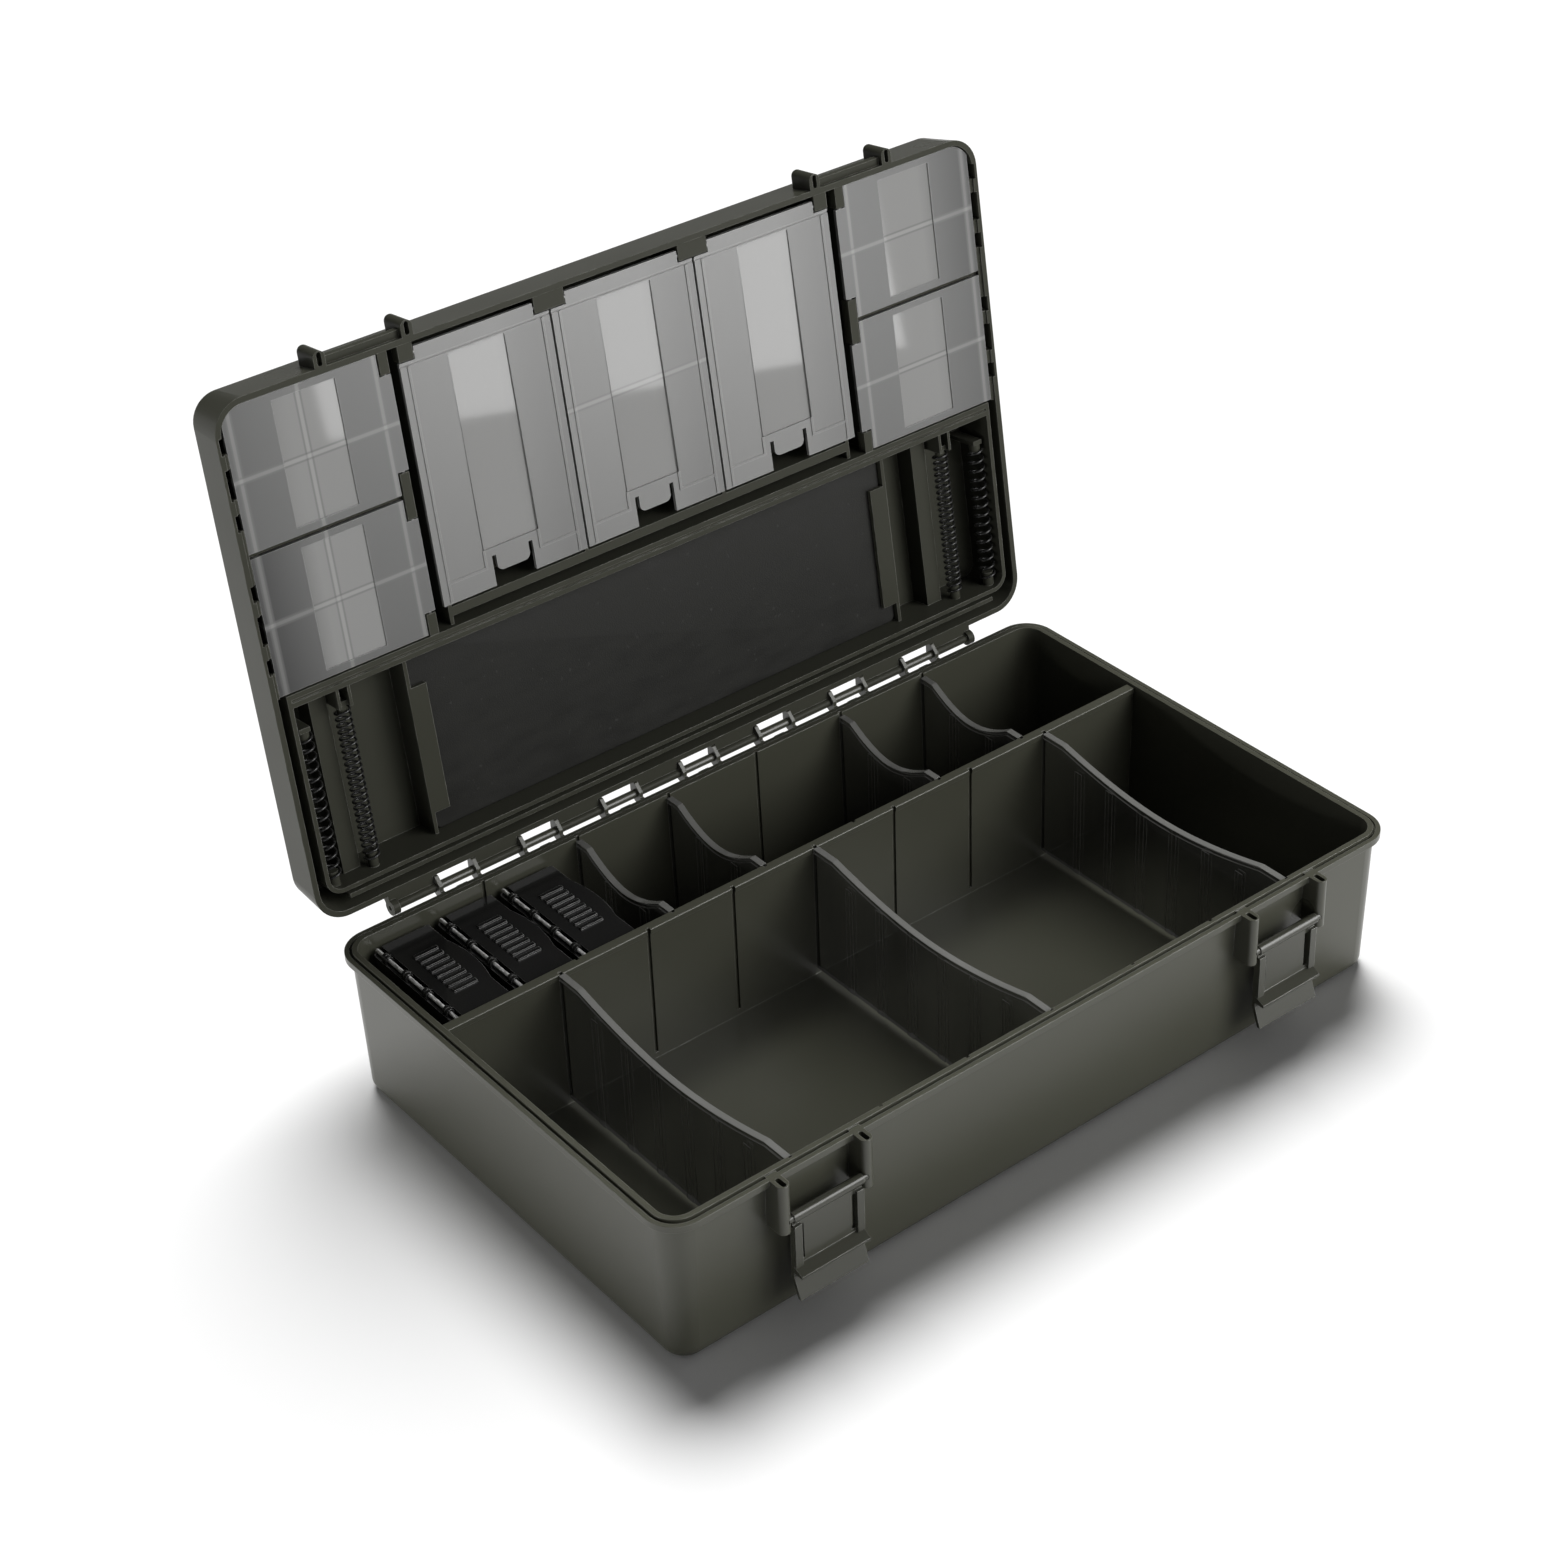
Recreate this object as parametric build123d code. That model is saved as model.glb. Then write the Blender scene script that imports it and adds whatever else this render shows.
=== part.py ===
from build123d import *
from math import cos, sin, sqrt, tau
import os

# Tackle box with a hinged lid that holds covered bins, a foam board and coil springs.
# Millimetres. Origin at the centre of the underside, +X along the length, -Y towards the latches, +Z up.
# The lid is modelled closed, with depths counted up from the face that meets the base, and then swung open.

# Outline of the box
RIM_LENGTH = 362.0
RIM_WIDTH = 215.5
RIM_HEIGHT = 67.0
RIM_CORNER = 13.4

# Base tray
BASE_WALL = 2.6
BASE_FLOOR = 3.2
BASE_DRAFT = 0.027
BASE_FOOT_RADIUS = 4.7
BASE_INNER_RADIUS = 2.4
LIP_OVERHANG = 2.6
LIP_HEIGHT = 2.8
LIP_FLARE = 1.8
TONGUE_RISE = 0.7
TONGUE_WIDTH = 2.2
TONGUE_GROOVE = 1.1

# Partition and divider slots
PARTITION_Y = 37.5
PARTITION_THICKNESS = 3.4
PARTITION_TOP_GAP = 0.4
PARTITION_BEAD = 0.5
PARTITION_BEAD_HEIGHT = 2.4
SLOT_WIDTH = 1.6
SLOT_DEPTH = 0.9
SLOT_BOTTOM = 6.0
FRONT_SLOT_PITCH = 41.3
FRONT_SLOT_REACH = 3
REAR_SLOT_PITCH = 45.6
REAR_SLOT_REACH = 3

# Dividers
DIVIDER_THICKNESS = 1.4
DIVIDER_CLEARANCE = 0.1
DIVIDER_TOP_GAP = 0.5
DIVIDER_BEAD = 2.8
DIVIDER_BEAD_HEIGHT = 2.2
SCOOP_STEEPNESS = 3.5
DIVIDER_RIB = 0.35
DIVIDER_RIB_WIDTH = 4.0
FRONT_DIVIDER_SLOTS = (-3, 0, 3)
FRONT_DIVIDER_DIP = 8.0
FRONT_DIVIDER_SHOULDER = 13.5
FRONT_DIVIDER_RIBS = 6
REAR_DIVIDER_SLOTS = (-1.5, -0.5, 1.5, 2.5)
REAR_DIVIDER_DIP = 8.5
REAR_DIVIDER_SHOULDER = 8.5
REAR_DIVIDER_RIBS = 2

# Main hinge
HINGE_OFFSET = 5.1
HINGE_OPEN = 98.25
HINGE_PIN_RADIUS = 1.0
HINGE_BORE_CLEARANCE = 0.06
HINGE_KNUCKLE_RADIUS = 3.2
HINGE_BARREL_RADIUS = 1.8
HINGE_RING_LENGTH = 3.0
HINGE_KNUCKLE_SPAN = 301.4
HINGE_PITCH = 40.0
HINGE_UNITS = 7
HINGE_EAR_SPACING = 17.5
HINGE_EAR_THICKNESS = 1.7
HINGE_SIDE_GAP = 0.35
HINGE_STOP_GAP = 0.15
HINGE_STOP_REACH = 3.4
HINGE_EAR_DROP = 9.0
HINGE_WEB = 2.4
HINGE_PIN_RECESS = 0.8
HINGE_BUMP_WIDTH = 5.0
HINGE_BUMP_REACH = 1.2

# Latches
LATCH_INSET = 65.4
LATCH_EAR_SPACING = 37.5
LATCH_EAR_WIDTH = 5.0
LATCH_EAR_REACH = 6.2
LATCH_EAR_HEIGHT = 22.0
LATCH_EAR_HOLLOW = 2.0
LATCH_EAR_HOLLOW_DEPTH = 11.0
LATCH_PIVOT_DROP = 17.0
LATCH_PIVOT_REACH = 4.7
LATCH_TRUNNION_RADIUS = 1.5
LATCH_TRUNNION_CLEARANCE = 0.07
LATCH_TRUNNION_ENTRY = 1.6
LEVER_SIDE_GAP = 0.5
LEVER_BARREL_RADIUS = 2.1
LEVER_HOOK_DROP = 25.0
LEVER_HOOK_REACH = 4.6
LEVER_HOOK_THICKNESS = 2.2
LEVER_PANEL = 1.6
LEVER_RAIL = 1.5
LEVER_RAIL_WIDTH = 3.2
LEVER_SLOT_WIDTH = 1.8
LEVER_LIP_DROP = 37.0
LEVER_LIP_FLARE = 3.4
LEVER_NECK = 3.2
LATCH_TRAVEL_GAP = 0.35
KEEPER_HEIGHT = 3.0
KEEPER_ROOT = 2.16
KEEPER_EAR_REACH = 6.4
KEEPER_EAR_DEPTH = 13.0

# Lid shell
LID_DEPTH = 22.3
LID_WALL = 2.4
LID_SKIN = 2.0
LID_TAPER = 2.3
LID_EDGE_RADIUS = 2.6
LID_SEAT_GAP = 0.1
LID_RIB = 1.6
LEDGE_Y = 10.5
LEDGE_WIDTH = 5.5
LEDGE_DEPTH = 0.4
LEDGE_FLANGE = 2.0
LEDGE_GROOVE = 1.2
RECESS_Y = 96.0
INNER_WALL_INSET = 6.2
INNER_WALL = 1.8

# Lid covers
COVER_DEPTH = 1.0
COVER_THICKNESS = 1.6
COVER_SEAT_GAP = 0.15
COVER_GAP = 0.6
COVER_TRUNNION_RADIUS = 0.8
COVER_TRUNNION_CLEARANCE = 0.07
COVER_TRUNNION_ENTRY = 1.3
COVER_TAIL = 2.25
LUG_DEPTH = 0.6
LUG_HEIGHT = 4.4
LUG_GAP = 0.6
WINDOW_RISE = 0.5
COVER_RIB_RISE = 0.4
COVER_RIB_WIDTH = 1.0
CENTRE_COVERS = 3
CENTRE_COVER_PITCH = 68.4
CENTRE_COVER_WIDTH = 67.3
CENTRE_COVER_TOP = 1.5
CENTRE_COVER_END = -103.0
CENTRE_NOTCH_WIDTH = 7.0
CENTRE_NOTCH_LENGTH = 5.0
CENTRE_WINDOW_WIDTH = 25.5
CENTRE_WINDOW_TOP = -14.5
CENTRE_WINDOW_END = -95.5
CENTRE_CROSS_WALL_Y = -55.75
FOLD_Y = -97.2
FOLD_WIDTH = 0.9
FOLD_DEPTH = 0.4
CORNER_RIB_Y = -7.0
TONGUE_NOTCH_WIDTH = 19.0
TONGUE_NOTCH_END = -11.0
TONGUE_TOP = -4.0
TONGUE_SNAP_WIDTH = 15.0
TONGUE_CORNER = 2.6
CATCH_Y = 3.4
CATCH_WIDTH = 3.8
SIDE_COVER_INNER = 106.3
SIDE_COVER_INSET = 4.0
SIDE_COVER_SPLIT = -47.5
SIDE_COVER_SPLIT_GAP = 2.0
SIDE_COVER_EDGE_GAP = 0.5
SIDE_NOTCH_WIDTH = 4.9
SIDE_NOTCH_LENGTH = 9.0
SIDE_WINDOW_INSET = 38.4
SIDE_WINDOW_WIDTH = 26.75
SIDE_WINDOW_MARGIN = 3.0
SIDE_CELL_WALL = 29.0
LEFT_CELL_WALL_INSET = 36.0
POCKET_SMALL = 6.5
POCKET_LARGE = 12.0
POCKET_PITCH = 15.0
POCKET_DEPTH = 7.0
POCKET_WALL = 1.2
CUT_OVERRUN = 1.0

# Foam board and its clips
BOARD_INSET = 62.2
BOARD_DEPTH = 10.5
BOARD_GAP = 0.3
BOARD_CORNER = 3.0
CLIP_DEPTH = 8.4
CLIP_REACH = 7.0
CLIP_START = 32.0
CLIP_END = 87.0

# Coil springs and what carries them
SPRING_WIRE = 1.0
OUTER_SPRING_INSET = 12.1
OUTER_SPRING_DEPTH = 5.7
OUTER_SPRING_RADIUS = 3.2
OUTER_SPRING_START = 30.0
OUTER_SPRING_PITCH = 4.2
OUTER_SPRING_TURNS = 15
INNER_SPRING_INSET = 30.6
INNER_SPRING_DEPTH = 6.9
INNER_SPRING_RADIUS = 3.0
INNER_SPRING_START = 26.6
INNER_SPRING_PITCH = 2.75
INNER_SPRING_TURNS = 24
SPRING_STUB_CLEARANCE = 0.35
SPRING_STUB_ENTRY = 3.2
SPRING_POST = 2.0
FORK_SPACING = 5.0
FORK_RIB = 1.2
FORK_TOP_DEPTH = 2.6
PLATEAU_WIDTH = 7.6
PLATEAU_DEPTH = 10.4
PLATEAU_OFFSETS = (-9.0, -7.8)

# Small hook boxes
MINI_COUNT = 3
MINI_PITCH = 29.4
MINI_PIN_INSET = 15.6
MINI_PIN_RADIUS = 0.8
MINI_PIN_CLEARANCE = 0.06
MINI_WIDTH = 25.6
MINI_LENGTH = 56.6
MINI_BACK_GAP = 0.5
MINI_TOP_GAP = 5.0
MINI_WALL = 1.5
MINI_FLOOR_GAP = 0.1
MINI_LID = 1.6
MINI_LID_GAP = 0.2
MINI_KNUCKLE_RADIUS = 1.7
MINI_KNUCKLE_LENGTH = 1.6
MINI_KNUCKLE_FOOT = 2.7
MINI_KNUCKLES = 4
MINI_EDGE_GAP = 2.1
MINI_RIBS = 8
MINI_RIB_PITCH = 3.85
MINI_RIB_LENGTH = 10.5
MINI_RIB_WIDTH = 1.7
MINI_RIB_RISE = 0.8
MINI_TAB_REACH = 2.2
MINI_TAB_LENGTH = 30.0

# Worked out from the driving sizes
HALF_LENGTH = RIM_LENGTH / 2
HALF_WIDTH = RIM_WIDTH / 2
MATING_Z = RIM_HEIGHT + LID_SEAT_GAP
HINGE_Y = HALF_WIDTH + HINGE_OFFSET
HINGE_Z = RIM_HEIGHT
HINGE_AXIS = Axis((0, HINGE_Y, HINGE_Z), (1, 0, 0))
LATCH_FRONT_Y = -HALF_WIDTH
PIVOT_Y = LATCH_FRONT_Y - LATCH_PIVOT_REACH
PIVOT_Z = RIM_HEIGHT - LATCH_PIVOT_DROP
LID_INNER_DEPTH = LID_DEPTH - LID_SKIN
BIN_TOP_DEPTH = COVER_DEPTH + COVER_THICKNESS + COVER_SEAT_GAP
COVER_AXIS_DEPTH = COVER_DEPTH + COVER_THICKNESS / 2
CENTRE_AXIS_Y = CENTRE_COVER_END + COVER_TAIL
SIDE_AXIS_X = SIDE_COVER_INNER + COVER_TAIL
CENTRE_HALF = CENTRE_COVER_PITCH + CENTRE_COVER_WIDTH / 2
PARTITION_FRONT = PARTITION_Y - PARTITION_THICKNESS / 2
PARTITION_BACK = PARTITION_Y + PARTITION_THICKNESS / 2
FREE_WALL_Y = -HALF_WIDTH + LID_WALL
LATCH_X = HALF_LENGTH - LATCH_INSET
SIDE_COVER_OUTER = HALF_LENGTH - SIDE_COVER_INSET
SIDE_WINDOW_X = HALF_LENGTH - SIDE_WINDOW_INSET
LEFT_CELL_WALL_X = LEFT_CELL_WALL_INSET - HALF_LENGTH
BOARD_HALF_WIDTH = HALF_LENGTH - BOARD_INSET
OUTER_SPRING_X = HALF_LENGTH - OUTER_SPRING_INSET
INNER_SPRING_X = HALF_LENGTH - INNER_SPRING_INSET
MINI_FIRST_PIN_X = MINI_PIN_INSET - HALF_LENGTH


def block(x_span, y_span, z_span):
    """A box between two corners, each span given as (low, high)."""
    centre = [(span[0] + span[1]) / 2 for span in (x_span, y_span, z_span)]
    return Pos(*centre) * Box(x_span[1] - x_span[0], y_span[1] - y_span[0], z_span[1] - z_span[0])


def across_x(outline, x_low, x_high):
    """A prism along X from an outline of (y, z) points."""
    face = Plane.YZ * make_face(Polyline(*outline, close=True))
    return extrude(Pos(x_low, 0, 0) * face, x_high - x_low, dir=(1, 0, 0))


def rod_x(radius, x_low, x_high, y, z):
    """A round bar along X."""
    return Pos((x_low + x_high) / 2, y, z) * Rot(0, 90, 0) * Cylinder(radius, x_high - x_low)


def rod_y(radius, x, y_low, y_high, z):
    """A round bar along Y."""
    return Pos(x, (y_low + y_high) / 2, z) * Rot(90, 0, 0) * Cylinder(radius, y_high - y_low)


def rim_outline(inset, z):
    """The box's rounded outline at a height, drawn in by an inset."""
    radius = max(RIM_CORNER - inset, 1.0)
    return Pos(0, 0, z) * RectangleRounded(RIM_LENGTH - 2 * inset, RIM_WIDTH - 2 * inset, radius)


def rim_solid(low, high):
    """A straight loft between two outlines, each given as (inset, z)."""
    return loft([rim_outline(*low).face(), rim_outline(*high).face()], ruled=True)


def rim_ring(inset, width, z_low, z_high):
    """An upright ring that follows the outline."""
    outer = rim_solid((inset, z_low), (inset, z_high))
    return outer - rim_solid((inset + width, z_low), (inset + width, z_high))


def mirrored(solid):
    """A solid and its mirror image in the plane x = 0."""
    return [solid, mirror(solid, Plane.YZ)]


def depth(span):
    """Heights in the closed lid of two depths under its mating face."""
    return (MATING_Z + span[0], MATING_Z + span[1])


def open_lid(solid):
    """A piece of the closed lid, swung back to the lid's stop."""
    return solid.rotate(HINGE_AXIS, -HINGE_OPEN)


def wall_inset(z):
    """How far the base's outer wall lies inside the rim at a height."""
    return LIP_OVERHANG + BASE_DRAFT * (RIM_HEIGHT - z)


def inner_y(z):
    """Half the clear width inside the base at a height."""
    return HALF_WIDTH - wall_inset(z) - BASE_WALL


# Base tray


def base_body():
    """Outer walls with the flared lip, hollowed and rounded at the foot."""
    lip_z = RIM_HEIGHT - LIP_HEIGHT
    flare_z = lip_z - LIP_FLARE
    walls = rim_solid((wall_inset(0), 0), (wall_inset(RIM_HEIGHT), RIM_HEIGHT))
    walls = fillet(walls.faces().sort_by(Axis.Z)[0].edges(), BASE_FOOT_RADIUS)
    flare = rim_solid((wall_inset(flare_z), flare_z), (0, lip_z))
    lip = rim_solid((0, lip_z), (0, RIM_HEIGHT))
    tongue_inset = wall_inset(RIM_HEIGHT) + BASE_WALL - TONGUE_WIDTH
    tongue = rim_solid((tongue_inset, RIM_HEIGHT), (tongue_inset, RIM_HEIGHT + TONGUE_RISE))
    hollow = rim_solid(
        (wall_inset(BASE_FLOOR) + BASE_WALL, BASE_FLOOR),
        (wall_inset(RIM_HEIGHT) + BASE_WALL, RIM_HEIGHT + TONGUE_RISE),
    )
    hollow = fillet(hollow.faces().sort_by(Axis.Z)[0].edges(), BASE_INNER_RADIUS)
    groove = rim_ring(
        tongue_inset - TONGUE_GROOVE, TONGUE_GROOVE, RIM_HEIGHT - TONGUE_GROOVE, RIM_HEIGHT
    )
    return walls + flare + lip + tongue - hollow - groove


def partition():
    """The fixed wall between the front and rear compartments, with a bead along its top."""
    top = RIM_HEIGHT - PARTITION_TOP_GAP
    reach = HALF_LENGTH - wall_inset(BASE_FLOOR) - BASE_WALL / 2
    low, high = BASE_FLOOR / 2, top - PARTITION_BEAD_HEIGHT
    wall = block((-reach, reach), (PARTITION_FRONT, PARTITION_BACK), (low, high))
    bead = block(
        (-reach, reach),
        (PARTITION_FRONT - PARTITION_BEAD, PARTITION_BACK + PARTITION_BEAD),
        (high, top),
    )
    long_edges = bead.faces().sort_by(Axis.Z)[-1].edges().filter_by(Axis.X)
    return wall + fillet(long_edges, PARTITION_BEAD)


def slot(x, wall_face, into):
    """One divider slot in a wall face; into is the side that it is cut to, -1 or +1 along Y."""
    bottom, top = SLOT_BOTTOM, RIM_HEIGHT + TONGUE_RISE
    over = SLOT_DEPTH + PARTITION_BEAD
    outline = [
        (wall_face(bottom) - into * over, bottom),
        (wall_face(bottom) + into * SLOT_DEPTH, bottom),
        (wall_face(top) + into * SLOT_DEPTH, top),
        (wall_face(top) - into * over, top),
    ]
    return across_x(outline, x - SLOT_WIDTH / 2, x + SLOT_WIDTH / 2)


def front_slot_x(index):
    """Where a front slot lies along the box."""
    return index * FRONT_SLOT_PITCH


def rear_slot_x(index):
    """Where a rear slot lies along the box; the rear slots fall on half steps."""
    return index * REAR_SLOT_PITCH


def divider_slots():
    """Every slot: facing pairs in the front compartment and in the rear one."""
    cuts = []
    for index in range(-FRONT_SLOT_REACH, FRONT_SLOT_REACH + 1):
        x = front_slot_x(index)
        cuts.append(slot(x, lambda z: -inner_y(z), -1))
        cuts.append(slot(x, lambda z: PARTITION_FRONT, 1))
    for step in range(2 * REAR_SLOT_REACH):
        x = rear_slot_x(step + 0.5 - REAR_SLOT_REACH)
        cuts.append(slot(x, inner_y, 1))
        cuts.append(slot(x, lambda z: PARTITION_BACK, -1))
    return cuts


def hinge_unit_x(index):
    """Where a base hinge unit lies along the box."""
    return (index - (HINGE_UNITS - 1) / 2) * HINGE_PITCH


def base_hinge_ear(x):
    """A thin ear that carries the hinge pin, with the heel that the open lid leans on."""
    wall_y = HALF_WIDTH - LIP_OVERHANG - BASE_WALL / 2
    heel_z = HINGE_Z + HINGE_OFFSET - HINGE_STOP_GAP - LID_SEAT_GAP
    root_z = HINGE_Z - HINGE_EAR_DROP
    outline = [
        (wall_y, root_z),
        (HINGE_Y + HINGE_KNUCKLE_RADIUS / 2, HINGE_Z - HINGE_KNUCKLE_RADIUS),
        (HINGE_Y + HINGE_KNUCKLE_RADIUS, HINGE_Z),
        (HINGE_Y + HINGE_STOP_REACH, heel_z),
        (HINGE_Y, heel_z),
        (HINGE_Y - HINGE_KNUCKLE_RADIUS, HINGE_Z + HINGE_KNUCKLE_RADIUS / 2),
        (HINGE_Y - HINGE_KNUCKLE_RADIUS, HINGE_Z - LIP_HEIGHT / 4),
        (wall_y, HINGE_Z - LIP_HEIGHT / 4),
    ]
    return across_x(outline, x - HINGE_EAR_THICKNESS / 2, x + HINGE_EAR_THICKNESS / 2)


def base_hinges():
    """All the base's hinge units: two ears, the knuckle between them and a bump on the lip."""
    ears, knuckles = [], []
    half = HINGE_EAR_SPACING / 2
    for index in range(HINGE_UNITS):
        x = hinge_unit_x(index)
        ears += [base_hinge_ear(x - half), base_hinge_ear(x + half)]
        knuckles.append(rod_x(HINGE_BARREL_RADIUS, x - half, x + half, HINGE_Y, HINGE_Z))
        knuckles.append(
            block(
                (x - HINGE_BUMP_WIDTH / 2, x + HINGE_BUMP_WIDTH / 2),
                (HALF_WIDTH - LIP_OVERHANG, HALF_WIDTH + HINGE_BUMP_REACH),
                (RIM_HEIGHT - LIP_HEIGHT, RIM_HEIGHT - LIP_HEIGHT / 4),
            )
        )
    return ears + knuckles


def hinge_bore():
    """The hole that the long pin runs in."""
    reach = HINGE_KNUCKLE_SPAN / 2 + HINGE_WEB
    return rod_x(HINGE_PIN_RADIUS + HINGE_BORE_CLEARANCE, -reach, reach, HINGE_Y, HINGE_Z)


def ear_outline(x, reach, root):
    """Plan outline of a latch ear: parallel sides and a round nose towards the front."""
    half = LATCH_EAR_WIDTH / 2
    nose = LATCH_FRONT_Y - reach
    sides = Pos(x, (nose + half + root) / 2) * Rectangle(LATCH_EAR_WIDTH, root - nose - half)
    return sides + Pos(x, nose + half) * Circle(half)


def ear_hollow(x, reach, z_span):
    """The narrow pocket cored out of an ear's end."""
    length = reach - LATCH_EAR_HOLLOW / 2
    centre_y = LATCH_FRONT_Y - reach / 2
    outline = Pos(x, centre_y) * SlotOverall(length, LATCH_EAR_HOLLOW, rotation=90)
    return Pos(0, 0, z_span[0]) * extrude(outline, z_span[1] - z_span[0])


def base_latch_ears():
    """The pair of hollow ears that carry one lever, at the right-hand latch."""
    solids = []
    bottom = RIM_HEIGHT - LATCH_EAR_HEIGHT
    root = LATCH_FRONT_Y + LIP_OVERHANG + BASE_WALL
    for side in (-1, 1):
        x = LATCH_X + side * LATCH_EAR_SPACING / 2
        outline = ear_outline(x, LATCH_EAR_REACH, root)
        ear = Pos(0, 0, bottom) * extrude(outline, LATCH_EAR_HEIGHT)
        hollow = (RIM_HEIGHT - LATCH_EAR_HOLLOW_DEPTH, RIM_HEIGHT)
        solids.append(ear - ear_hollow(x, LATCH_EAR_REACH, hollow))
    return solids


def latch_bores():
    """Blind holes in the ears' inner sides for one lever's trunnions."""
    half = LATCH_EAR_SPACING / 2 - LATCH_EAR_WIDTH / 2 + LATCH_TRUNNION_ENTRY + LATCH_TRAVEL_GAP
    radius = LATCH_TRUNNION_RADIUS + LATCH_TRUNNION_CLEARANCE
    return rod_x(radius, LATCH_X - half, LATCH_X + half, PIVOT_Y, PIVOT_Z)


def make_base_tray():
    """The whole base moulding."""
    tray = base_body() + partition()
    tray = tray - divider_slots()
    tray = tray + base_hinges() - hinge_bore()
    for ear in base_latch_ears():
        tray = tray + mirrored(ear)
    return tray - mirrored(latch_bores())


def make_hinge_pin():
    """The long steel pin of the lid's hinge."""
    reach = HINGE_KNUCKLE_SPAN / 2 - HINGE_PIN_RECESS
    return rod_x(HINGE_PIN_RADIUS, -reach, reach, HINGE_Y, HINGE_Z)


# Dividers


def divider_top(y_low, y_high, start, end, dip, drop):
    """A divider's top line, lowered by drop: level to start, scooped down to dip, level again from end."""
    top = RIM_HEIGHT - DIVIDER_TOP_GAP - drop
    slope = SCOOP_STEEPNESS * dip / (end - start)
    scoop = Spline(
        (start, top),
        ((start + end) / 2, top - dip),
        (end, top),
        tangents=[(1, -slope), (1, slope)],
    )
    return [Line((y_low, top), (start, top)), scoop, Line((end, top), (y_high, top))]


def divider_sheet(x, outline, thickness):
    """A sheet of even thickness about the plane at x, from a closed outline in (y, z)."""
    return Pos(x, 0, 0) * extrude(Plane.YZ * make_face(outline), thickness / 2, both=True)


def make_divider(x, low_face, high_face, shoulder, dip, ribs):
    """A removable divider whose ends stand in facing slots."""
    bottom = SLOT_BOTTOM + DIVIDER_CLEARANCE
    top = RIM_HEIGHT - DIVIDER_TOP_GAP
    entry = SLOT_DEPTH - DIVIDER_CLEARANCE
    y_low, y_high = low_face(top) - entry, high_face(top) + entry
    foot_low, foot_high = low_face(bottom) - entry, high_face(bottom) + entry
    start, end = y_low + shoulder, y_high - shoulder
    sheet_drop = DIVIDER_BEAD_HEIGHT / 2
    sheet_top = top - sheet_drop
    sheet_outline = divider_top(y_low, y_high, start, end, dip, sheet_drop)
    sheet_outline.append(
        Polyline((y_high, sheet_top), (foot_high, bottom), (foot_low, bottom), (y_low, sheet_top))
    )
    sheet = divider_sheet(x, sheet_outline, DIVIDER_THICKNESS)

    bead_low, bead_high = low_face(top) + entry, high_face(top) - entry
    bead_outline = divider_top(bead_low, bead_high, start, end, dip, 0)
    bead_outline += divider_top(bead_low, bead_high, start, end, dip, DIVIDER_BEAD_HEIGHT)
    for y in (bead_low, bead_high):
        bead_outline.append(Line((y, top), (y, top - DIVIDER_BEAD_HEIGHT)))
    bead = divider_sheet(x, bead_outline, DIVIDER_BEAD)

    rib_top = top - dip - sheet_drop
    rib_reach = DIVIDER_THICKNESS / 2 + DIVIDER_RIB
    spacing = (foot_high - foot_low - 2 * shoulder) / ribs
    for index in range(ribs):
        y = foot_low + shoulder + (index + 0.5) * spacing
        span = (y - DIVIDER_RIB_WIDTH / 2, y + DIVIDER_RIB_WIDTH / 2)
        sheet = sheet + block((x - rib_reach, x + rib_reach), span, (bottom, rib_top))
    return sheet + bead


def make_front_divider(index):
    """A long divider between the partition and the front wall."""
    return make_divider(
        front_slot_x(index),
        lambda z: -inner_y(z),
        lambda z: PARTITION_FRONT,
        FRONT_DIVIDER_SHOULDER,
        FRONT_DIVIDER_DIP,
        FRONT_DIVIDER_RIBS,
    )


def make_rear_divider(index):
    """A short divider between the partition and the back wall."""
    return make_divider(
        rear_slot_x(index),
        lambda z: PARTITION_BACK,
        inner_y,
        REAR_DIVIDER_SHOULDER,
        REAR_DIVIDER_DIP,
        REAR_DIVIDER_RIBS,
    )


# Small hook boxes


def mini_pin_x(index):
    """Where a hook box's hinge pin lies along the tackle box."""
    return MINI_FIRST_PIN_X + index * MINI_PITCH


def mini_spans(index):
    """The outer (x, y, z) spans of a hook box's body."""
    left = mini_pin_x(index) - MINI_EDGE_GAP
    back = inner_y(BASE_FLOOR) - MINI_BACK_GAP
    top = RIM_HEIGHT - MINI_TOP_GAP - MINI_LID - MINI_LID_GAP
    return (left, left + MINI_WIDTH), (back - MINI_LENGTH, back), (BASE_FLOOR + MINI_FLOOR_GAP, top)


def mini_pin_z():
    """The height of the hook boxes' hinge pins."""
    return RIM_HEIGHT - MINI_TOP_GAP - MINI_LID / 2


def mini_knuckles(index, on_lid):
    """The knuckles of a hook box's lid or body, spread evenly along the pin."""
    x_span, y_span, z_span = mini_spans(index)
    pin_x, pin_z = mini_pin_x(index), mini_pin_z()
    pitch = MINI_LENGTH / MINI_KNUCKLES
    knuckles = []
    for place in range(MINI_KNUCKLES):
        shift = MINI_KNUCKLE_LENGTH / 2 + MINI_LID_GAP / 2
        centre = y_span[0] + (place + 0.5) * pitch + (shift if on_lid else -shift)
        low, high = centre - MINI_KNUCKLE_LENGTH / 2, centre + MINI_KNUCKLE_LENGTH / 2
        knuckle = rod_y(MINI_KNUCKLE_RADIUS, pin_x, low, high, pin_z)
        if on_lid:
            thickness = (pin_z - MINI_LID / 2, pin_z + MINI_LID / 2)
            arm = block((pin_x, pin_x + MINI_EDGE_GAP), (low, high), thickness)
        else:
            half = MINI_KNUCKLE_FOOT / 2
            arm = block((pin_x - half, pin_x + half), (low, high), (z_span[1] - MINI_WALL, pin_z))
        knuckles.append(knuckle + arm)
    return knuckles


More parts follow.
